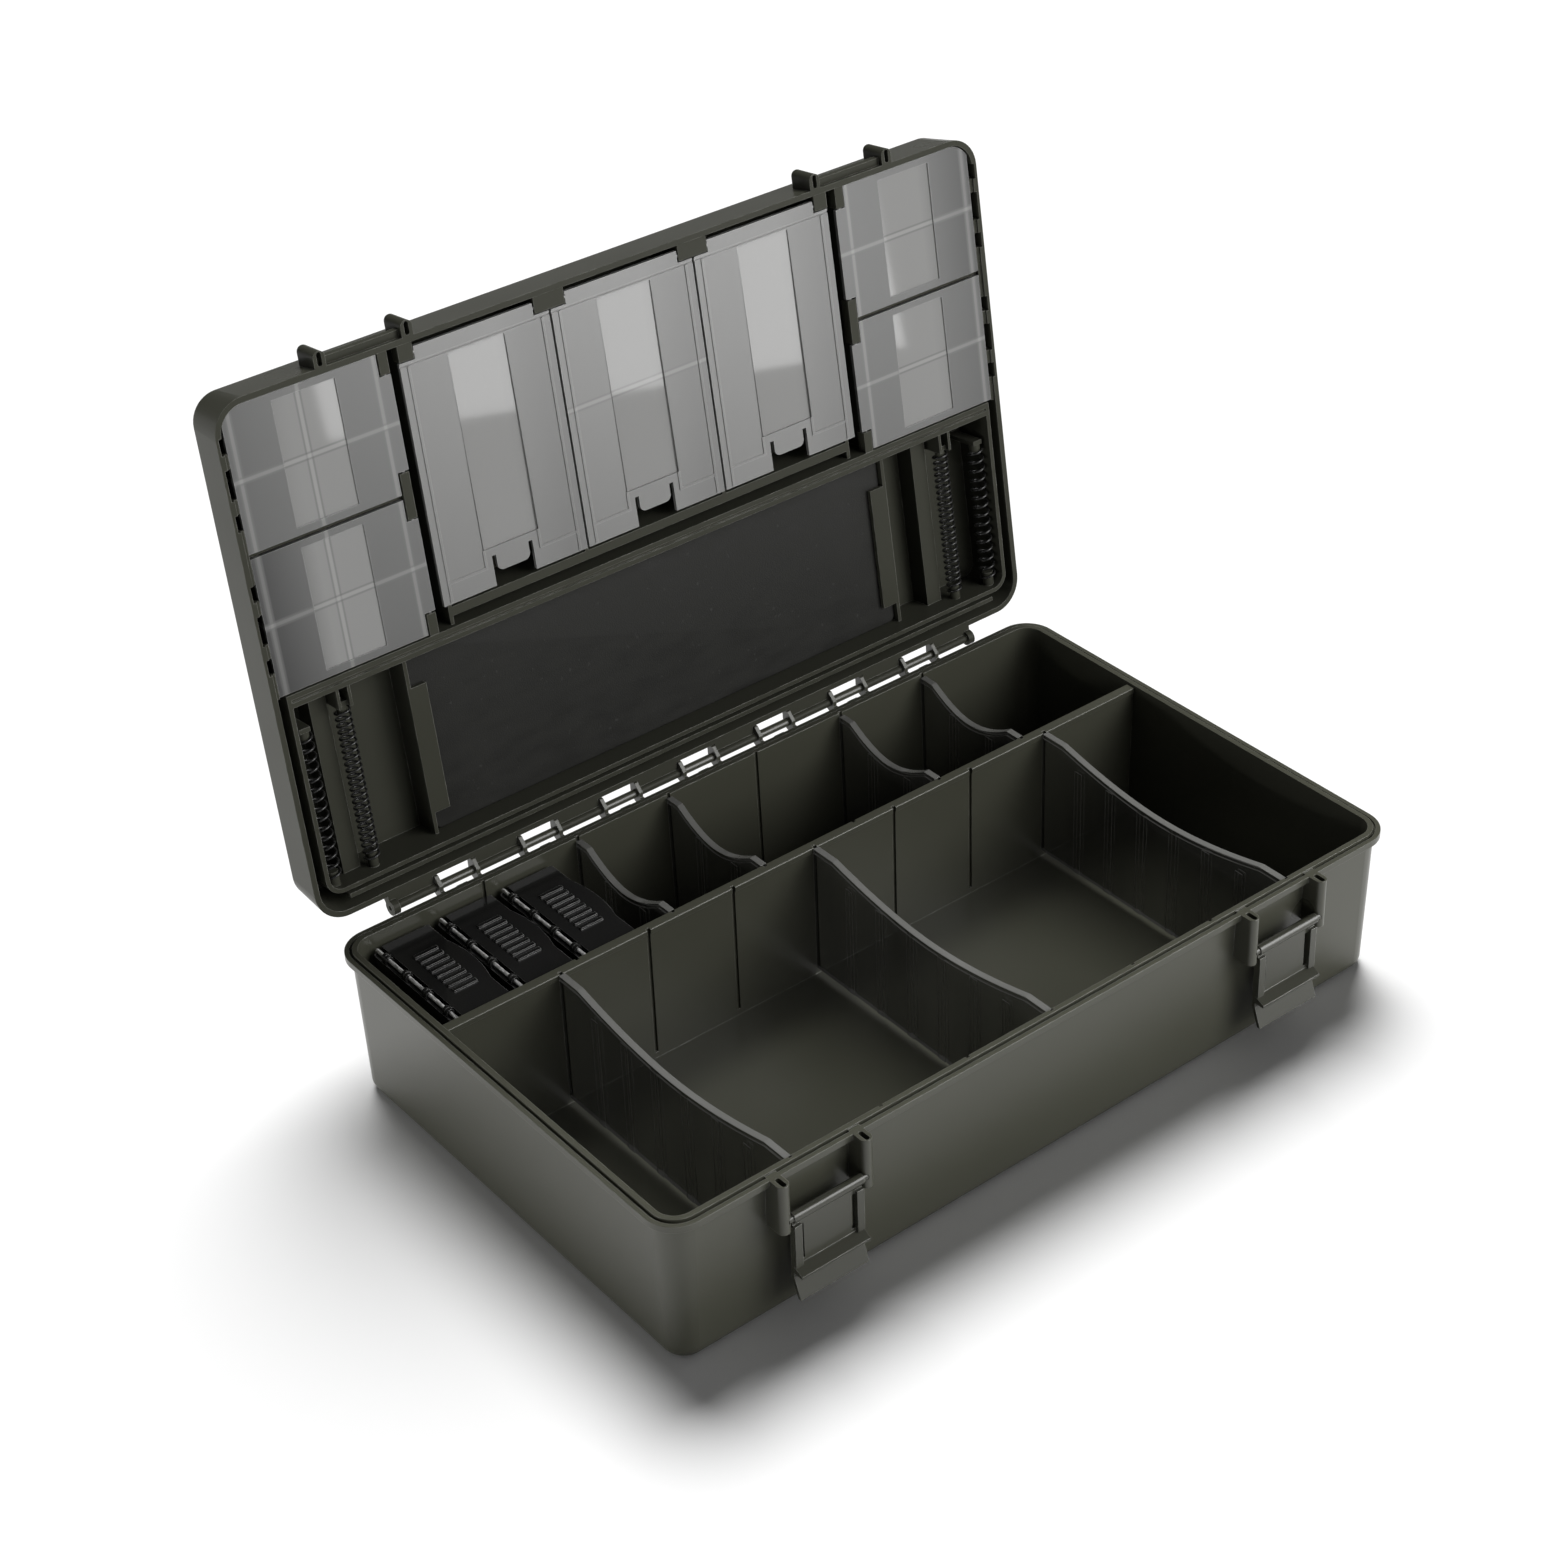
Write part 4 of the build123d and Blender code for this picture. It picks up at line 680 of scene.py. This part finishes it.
@dataclass
class Coil:
    """A coil spring that lies along the lid's side bay, in the closed lid's measures."""

    name: str
    side: Side
    x: float
    depth: float
    radius: float
    start: float
    pitch: float
    turns: int
    wire: float = 1.0
    steps: int = 28
    facets: int = 12

    def helix(self, angle: float) -> Vector:
        """A point of the winding, from the spring's own start."""
        return Vector(
            (self.radius * math.sin(angle), self.pitch * angle / math.tau, self.radius * math.cos(angle))
        )

    def centre_line(self) -> list[Vector]:
        """The wire's centre line from the spring's own start, with a straight end at both ends."""
        line = [self.helix(math.tau * step / self.steps) for step in range(self.turns * self.steps + 1)]
        first = (line[0] - line[1]).normalized() * self.wire
        last = (line[-1] - line[-2]).normalized() * self.wire
        return [line[0] + first, *line, line[-1] + last]

    def ring(self, bm: bmesh.types.BMesh, point: Vector, tangent: Vector) -> list[bmesh.types.BMVert]:
        """Adds one round section of the wire, set in the open lid.

        Args:
            bm: The form that it joins.
            point: The section's middle, from the spring's own start.
            tangent: The wire's direction there.

        Returns:
            Its corners in order.
        """
        outward = Vector((point.x, 0, point.z))
        outward = (outward - outward.dot(tangent) * tangent).normalized()
        side = tangent.cross(outward)
        corners = []
        for facet in range(self.facets):
            angle = math.tau * facet / self.facets
            spot = point + (outward * math.cos(angle) + side * math.sin(angle)) * self.wire / 2
            place = LID.point(self.side.value * self.x + spot.x, self.start + spot.y, self.depth + spot.z)
            corners.append(bm.verts.new(place))
        return corners

    def mesh(self) -> bpy.types.Mesh:
        """Sweeps a round section along the wire."""
        line = self.centre_line()
        bm = bmesh.new()
        rings = []
        for place, point in enumerate(line):
            before, after = line[max(place - 1, 0)], line[min(place + 1, len(line) - 1)]
            rings.append(self.ring(bm, point, (after - before).normalized()))
        for ring, following in zip(rings, rings[1:]):
            for facet in range(self.facets):
                after = (facet + 1) % self.facets
                bm.faces.new((ring[facet], ring[after], following[after], following[facet]))
        bm.faces.new(list(reversed(rings[0])))
        bm.faces.new(rings[-1])
        return smooth_mesh(bm, self.name)

    def build(self, material: bpy.types.Material) -> None:
        """Makes the spring in place of its plain solid."""
        piece = new_piece(self.name + "_coil", self.mesh(), "lid", material)
        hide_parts(self.name)


@dataclass
class Springs:
    """The four coil springs that hold hook lengths."""

    sizes: dict[str, dict[str, float]] = field(
        default_factory=lambda: {
            "outer": {"x": 168.9, "depth": 5.7, "radius": 3.2, "start": 30.0, "pitch": 4.2, "turns": 15},
            "inner": {"x": 150.4, "depth": 6.9, "radius": 3.0, "start": 26.6, "pitch": 2.75, "turns": 24},
        }
    )
    wire: BrightWire = BrightWire(
        "spring_wire", (0.012, 0.012, 0.012), (0.03, 0.03, 0.029), metal=0.35, smooth=0.22, rough=0.36
    )

    def build(self, nodes: Nodes) -> None:
        """Makes all four springs.

        Args:
            nodes: Not used.
        """
        wire = self.wire.material()
        for side in Side:
            for place, sizes in self.sizes.items():
                Coil(name=f"{place}_spring_{side.name.lower()}", side=side, **sizes).build(wire)


@dataclass
class RigBoard:
    """The foam board in the lid's recess."""

    corner: float = 3.0
    corner_steps: int = 6
    soft_edge: float = 0.7
    soft_edge_steps: int = 3
    upright_share: float = 0.9
    crease_angle: float = 0.9
    finish: Foam = Foam("board_foam")

    def build(self, nodes: Nodes) -> None:
        """Makes the board in place of its plain solid, with eased edges.

        Args:
            nodes: The carried-over solids by name.
        """
        piece = new_piece(
            "rig_board_foam", self.mesh(nodes["rig_board"]), "lid", self.finish.material()
        )
        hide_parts("rig_board")

    def mesh(self, solid: bpy.types.Object) -> bpy.types.Mesh:
        """Forms the board as large as its solid, first in the closed lid and then turned with it."""
        low, high = self.extent(solid)
        bm = bmesh.new()
        bmesh.ops.create_cube(bm, size=1)
        bmesh.ops.scale(bm, vec=high - low, verts=bm.verts)
        bmesh.ops.translate(bm, vec=(low + high) / 2, verts=bm.verts)
        self.ease(bm, [edge for edge in bm.edges if self.stands(edge)], self.corner, self.corner_steps)
        self.ease(bm, [edge for edge in bm.edges if self.creased(edge)], self.soft_edge, self.soft_edge_steps)
        for vertex in bm.verts:
            vertex.co = LID.point(*vertex.co)
        return smooth_mesh(bm, "rig_board_foam")

    def ease(self, bm: bmesh.types.BMesh, edges: list[bmesh.types.BMEdge], offset: float, steps: int) -> None:
        """Rounds edges of the board."""
        bmesh.ops.bevel(bm, geom=edges, offset=offset, segments=steps, profile=0.5, affect="EDGES")

    def stands(self, edge: bmesh.types.BMEdge) -> bool:
        """Whether an edge runs through the board's thickness."""
        return abs((edge.verts[0].co - edge.verts[1].co).normalized().z) > self.upright_share

    def creased(self, edge: bmesh.types.BMEdge) -> bool:
        """Whether an edge is sharp."""
        return len(edge.link_faces) == 2 and edge.calc_face_angle() > self.crease_angle

    def extent(self, solid: bpy.types.Object) -> tuple[Vector, Vector]:
        """The board's corners in the closed lid's measures, read from its solid."""
        places = [LID.measure(vertex.co) for vertex in solid.data.vertices]
        return (
            Vector([min(values) for values in zip(*places)]),
            Vector([max(values) for values in zip(*places)]),
        )


@dataclass
class Mouldings:
    """The olive mouldings: base tray, lid shell and latch levers."""

    # The third colour of each finish is a painted highlight along its edges.
    olive: SatinMould = SatinMould(
        "olive_plastic", (0.038, 0.0385, 0.0285), (0.046, 0.0465, 0.035), (0.2, 0.2, 0.18)
    )
    # The lid's olive is a darker copy of the base's: painted shade on the lid.
    shaded_lid_olive: SatinMould = SatinMould(
        "olive_lid_painted_shade",
        (0.031, 0.0315, 0.0245),
        (0.037, 0.0375, 0.029),
        (0.24, 0.24, 0.22),
        edge_highlight_share=0.9,
        gloss=0.05,
    )
    lever: SatinMould = SatinMould(
        "lever_plastic",
        (0.03, 0.0305, 0.023),
        (0.038, 0.0385, 0.03),
        (0.26, 0.26, 0.24),
        edge_highlight_share=0.85,
        smooth=0.18,
        rough=0.24,
    )

    def build(self, nodes: Nodes) -> None:
        """Dresses the mouldings.

        Args:
            nodes: The carried-over solids by name.
        """
        dress(nodes, ["base_tray"], self.olive.material())
        dress(nodes, ["lid_shell"], self.shaded_lid_olive.material())
        dress(nodes, [f"latch_lever_{side.name.lower()}" for side in Side], self.lever.material())


@dataclass
class Cover:
    """One cover over the lid's bins, with its window sunk below the frosted plate, in millimetres."""

    node: str
    middle: Span
    window: Span
    walls_across: tuple[float, ...] = ()
    walls_along: tuple[float, ...] = ()
    frosted: Colour = CoverSheet.frosted
    # Where and how strongly a painted shade darkens the cover towards one side.
    shade_span: Span = CoverSheet.shade_span
    shade: float = CoverSheet.shade
    window_top: float = 0.5
    window_floor: float = 1.5
    side_slack: float = 0.2
    depth_slack: float = 0.05

    def finish(self) -> CoverSheet:
        """The cover's own finish, with its window polished."""
        return CoverSheet(
            f"smoke_{self.node}",
            LID.point(*self.middle, self.window_floor),
            (self.window[0] / 2 * MM, self.window[1] / 2 * MM),
            self.walls_across,
            self.walls_along,
            self.frosted,
            self.shade_span,
            self.shade,
        )

    def on_window(self, place: Vector) -> bool:
        """Whether a place lies on the top of the raised window."""
        x, y, depth = LID.measure(place)
        return (
            abs(x - self.middle[0]) < self.window[0] / 2 + self.side_slack
            and abs(y - self.middle[1]) < self.window[1] / 2 + self.side_slack
            and abs(depth - self.window_top) < self.depth_slack
        )

    def build(self, nodes: Nodes) -> None:
        """Copies the plate from its solid and lowers the window into it.

        Args:
            nodes: The carried-over solids by name.
        """
        mesh = nodes[self.node].data.copy()
        mesh.name = self.node + "_sheet"
        mesh.materials.clear()
        drop = LID.inward() * (self.window_floor - self.window_top) * MM
        for vertex in mesh.vertices:
            if self.on_window(vertex.co):
                vertex.co += drop
        bm = bmesh.new()
        bm.from_mesh(mesh)
        bmesh.ops.recalc_face_normals(bm, faces=bm.faces)
        bm.to_mesh(mesh)
        bm.free()
        piece = new_piece(self.node + "_sheet", mesh, self.node, self.finish().material())
        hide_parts(self.node)


@dataclass(frozen=True)
class SideRow:
    """The side covers that face each other at the lid's two ends, in millimetres."""

    name: str
    span: Span
    cell_wall: float
    # How strongly a painted shade darkens each side's cover towards the lid's end.
    shades: dict[Side, float]


@dataclass
class Covers:
    """The seven see-through covers over the lid's bins, in millimetres."""

    centre_numbers: tuple[int, ...] = (1, 2, 3)
    centre_number: int = 2
    pitch: float = 68.4
    window_width: float = 25.5
    window_span: Span = (-95.5, -14.5)
    cross_wall: float = -55.75
    # The painted shade on each centre cover, darker towards the right of its window.
    centre_shade_span: Span = (8, 26)
    centre_shade: float = 0.22
    side_x: float = 142.6
    side_width: float = 26.75
    side_margin: float = 3.0
    side_walls: Span = (112.5, 174.0)
    left_wall: float = -145.0
    side_frosted: Colour = (0.088, 0.088, 0.086)
    # The painted shade on each side cover, darker towards the lid's end.
    side_shade_span: Span = (150, 172)
    side_rows: tuple[SideRow, ...] = (
        SideRow("rear", (-46.5, 9.9), -18.5, {Side.LEFT: 0.97, Side.RIGHT: 0.35}),
        SideRow("front", (-104.85, -48.5), -76.5, {Side.LEFT: 0.3, Side.RIGHT: 0.7}),
    )

    def centre_cover(self, number: int) -> Cover:
        """A centre cover, counted from the left; a cross wall shows through the middle one."""
        middle = (number - self.centre_number) * self.pitch
        low, high = self.window_span
        start, end = self.centre_shade_span
        return Cover(
            f"centre_cover_{number}",
            (middle, (low + high) / 2),
            (self.window_width, high - low),
            walls_along=(self.cross_wall,) if number == self.centre_number else (),
            shade_span=(middle + start, middle + end),
            shade=self.centre_shade,
        )

    def side_cover(self, side: Side, row: SideRow) -> Cover:
        """A side cover, with the bin walls beneath it; the left bins have one wall more."""
        low, high = row.span
        start, end = self.side_shade_span
        walls = tuple(side.value * wall for wall in self.side_walls)
        return Cover(
            f"side_cover_{side.name.lower()}_{row.name}",
            (side.value * self.side_x, (low + high) / 2),
            (self.side_width, high - low - 2 * self.side_margin),
            walls + (self.left_wall,) if side is Side.LEFT else walls,
            (row.cell_wall,),
            self.side_frosted,
            (side.value * start, side.value * end),
            row.shades[side],
        )

    def build(self, nodes: Nodes) -> None:
        """Makes each cover.

        Args:
            nodes: The carried-over solids by name.
        """
        covers = [self.centre_cover(number) for number in self.centre_numbers]
        covers += [self.side_cover(side, row) for side in Side for row in self.side_rows]
        for cover in covers:
            cover.build(nodes)


@dataclass
class Dividers:
    """The seven dark see-through dividers of the base."""

    front: int = 3
    rear: int = 4
    # The second colour is a painted highlight along the dividers' edges.
    smoke: SmokySheet = SmokySheet("smoke_divider", (0.055, 0.055, 0.05), (0.5, 0.5, 0.47))

    def build(self, nodes: Nodes) -> None:
        """Dresses the dividers.

        Args:
            nodes: The carried-over solids by name.
        """
        names = [f"front_divider_{n + 1}" for n in range(self.front)]
        names += [f"rear_divider_{n + 1}" for n in range(self.rear)]
        dress(nodes, names, self.smoke.material())


@dataclass
class HookBoxes:
    """The three small hook boxes with their lids and pins."""

    count: int = 3
    black: BlackGloss = BlackGloss("hook_box_black")
    steel: BrightWire = BrightWire(
        "bright_steel",
        (0.3, 0.3, 0.29),
        (0.95, 0.95, 0.94),
        metal=0.55,
        smooth=0.14,
        rough=0.3,
        stretch=(1, 0.3, 1),
    )

    def build(self, nodes: Nodes) -> None:
        """Dresses the boxes and their bright pins.

        Args:
            nodes: The carried-over solids by name.
        """
        black, steel = self.black.material(), self.steel.material()
        numbers = range(1, self.count + 1)
        dress(nodes, [f"hook_box_{n}" for n in numbers] + [f"hook_box_lid_{n}" for n in numbers], black)
        dress(nodes, [f"hook_box_pin_{n}" for n in numbers], steel)


@dataclass
class HingePin:
    """The long pin of the lid's hinge."""

    steel: BrightWire = BrightWire(
        "pin_steel",
        (0.4, 0.4, 0.39),
        (0.95, 0.95, 0.94),
        metal=0.6,
        smooth=0.16,
        rough=0.32,
        stretch=(0.3, 1, 1),
    )

    def build(self, nodes: Nodes) -> None:
        """Dresses the pin.

        Args:
            nodes: The carried-over solids by name.
        """
        dress(nodes, ["hinge_pin"], self.steel.material())


@dataclass(frozen=True)
class SoftLamp:
    """A rectangular lamp, in metres and watts."""

    name: str
    place: Place
    aim: Place
    size: Span
    watts: float

    def hang(self, receivers: bpy.types.Collection) -> None:
        """Hangs the lamp.

        Args:
            receivers: What it lights, or leaves out.
        """
        light = bpy.data.lights.new(self.name, "AREA")
        light.shape = "RECTANGLE"
        light.size, light.size_y = self.size
        light.energy = self.watts
        lamp = add_object(self.name, light)
        lamp.location = self.place
        lamp.rotation_euler = (Vector(self.aim) - Vector(self.place)).to_track_quat("-Z", "Y").to_euler()
        lamp.light_linking.receiver_collection = receivers
        LOG.info("%s hung", self.name)


@dataclass
class Studio:
    """The pale floor, the lamps, the white surround and the camera."""

    eye: Place = (-0.63134, -0.77344, 0.80520)
    yaw: float = math.radians(37.96)
    pitch: float = math.radians(-32.41)
    roll: float = math.radians(-1.98)
    lens: float = 73.33
    sensor: float = 36.0
    shift: Span = (-0.0198, -0.0740)
    nearest: float = 0.01
    floor_size: float = 14.0
    floor_tone: Colour = (0.93, 0.93, 0.93)
    floor_rough: float = 0.9
    floor_glow: float = 0.02
    surround_tone: Colour = (1, 1, 1)
    surround_light: float = 0.08
    surround_seen: float = 1.0
    key_level: float = 3.9
    key_width: float = math.radians(34)
    key_turn: float = math.radians(30)
    key_rise: float = math.radians(59)
    lamps: tuple[SoftLamp, ...] = (
        SoftLamp("front_soft", (1.1, -2.0, 1.4), (0, 0, 0.05), (2.4, 1.7), 63),
        SoftLamp("left_low", (-0.75, 0.1, 0.07), (-0.18, 0.03, 0.02), (0.3, 0.1), 2.4),
        SoftLamp("front_card", (0.467, -0.665, 0.46), (-0.2646, 0.0167, 0.46), (0.42, 0.9), 4.2),
    )

    def build(self, nodes: Nodes) -> None:
        """Sets up floor, lamps, world and camera.

        Args:
            nodes: Not used.
        """
        floor = self.build_floor()
        self.build_world()
        self.build_key()
        spared = self.spare(floor)
        for lamp in self.lamps:
            lamp.hang(spared)
        self.build_camera()

    def build_floor(self) -> bpy.types.Object:
        """Lays the floor, which keeps the box's shadow and glows a little where it is seen."""
        bm = bmesh.new()
        bmesh.ops.create_grid(bm, x_segments=1, y_segments=1, size=self.floor_size / 2)
        mesh = bpy.data.meshes.new("floor")
        bm.to_mesh(mesh)
        bm.free()
        floor = add_object("floor", mesh)
        tree = NodeTree(bpy.data.materials.new("floor_white"))
        shader = tree.principled(
            Base_Color=self.floor_tone, Roughness=self.floor_rough, Specular_IOR_Level=0.0
        )
        path = tree.add("ShaderNodeLightPath")
        seen = tree.maths("MAXIMUM", path.outputs["Is Camera Ray"], path.outputs["Is Glossy Ray"])
        seen = tree.maths("MAXIMUM", seen, path.outputs["Is Transmission Ray"])
        glow = tree.add("ShaderNodeEmission")
        tree.feed(glow.inputs["Strength"], tree.maths("MULTIPLY", seen, self.floor_glow))
        both = tree.add("ShaderNodeAddShader")
        tree.feed(both.inputs[0], shader.outputs[0])
        tree.feed(both.inputs[1], glow.outputs[0])
        tree.feed(tree.output.inputs["Surface"], both.outputs[0])
        mesh.materials.append(tree.owner)
        LOG.info("floor laid")
        return floor

    def build_world(self) -> None:
        """Surrounds the scene with white that lights it only softly."""
        world = bpy.data.worlds.new("surround")
        bpy.context.scene.world = world
        tree = NodeTree(world, "ShaderNodeOutputWorld")
        path = tree.add("ShaderNodeLightPath")
        seen = tree.maths("MAXIMUM", path.outputs["Is Camera Ray"], path.outputs["Is Transmission Ray"])
        background = tree.add("ShaderNodeBackground")
        tree.feed(background.inputs["Color"], self.surround_tone)
        level = tree.span(seen, WHOLE, (self.surround_light, self.surround_seen))
        tree.feed(background.inputs["Strength"], level)
        tree.feed(tree.output.inputs["Surface"], background.outputs[0])

    def build_key(self) -> None:
        """Hangs the key: a broad sun behind the box that casts the shadow forward and no highlights."""
        light = bpy.data.lights.new("key", "SUN")
        light.energy = self.key_level
        light.angle = self.key_width
        lamp = add_object("key", light)
        flat = math.cos(self.key_rise)
        source = Vector(
            (math.sin(self.key_turn) * flat, math.cos(self.key_turn) * flat, math.sin(self.key_rise))
        )
        lamp.rotation_euler = (-source).to_track_quat("-Z", "Y").to_euler()
        lamp.visible_glossy = False
        LOG.info("key hung")

    def spare(self, floor: bpy.types.Object) -> bpy.types.Collection:
        """Makes the collection that keeps the soft lamps off the floor and so out of its shadow."""
        spared = bpy.data.collections.new("floor_kept_in_shadow")
        spared.objects.link(floor)
        spared.collection_objects[0].light_linking.link_state = "EXCLUDE"
        return spared

    def build_camera(self) -> None:
        """Places the camera where the photograph was taken."""
        forward = Vector(
            (
                math.sin(self.yaw) * math.cos(self.pitch),
                math.cos(self.yaw) * math.cos(self.pitch),
                math.sin(self.pitch),
            )
        )
        level = Vector((math.cos(self.yaw), -math.sin(self.yaw), 0))
        upright = level.cross(forward)
        right = math.cos(self.roll) * level + math.sin(self.roll) * upright
        up = -math.sin(self.roll) * level + math.cos(self.roll) * upright
        data = bpy.data.cameras.new("camera")
        data.sensor_width = self.sensor
        data.lens = self.lens
        data.shift_x, data.shift_y = self.shift
        data.clip_start = self.nearest
        camera = add_object("camera", data)
        turn = Matrix((right, up, -forward)).transposed().to_4x4()
        camera.matrix_world = Matrix.Translation(self.eye) @ turn
        bpy.context.scene.camera = camera


def main() -> None:
    """Builds every piece in order."""
    logging.basicConfig(level=logging.INFO, format="%(message)s")
    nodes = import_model()["nodes"]
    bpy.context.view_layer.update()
    for assembly in (Mouldings, Covers, Dividers, HookBoxes, HingePin, Springs, RigBoard, Studio):
        assembly().build(nodes)
    bpy.context.scene.view_settings.view_transform = "Standard"


if __name__ == "__main__":
    main()
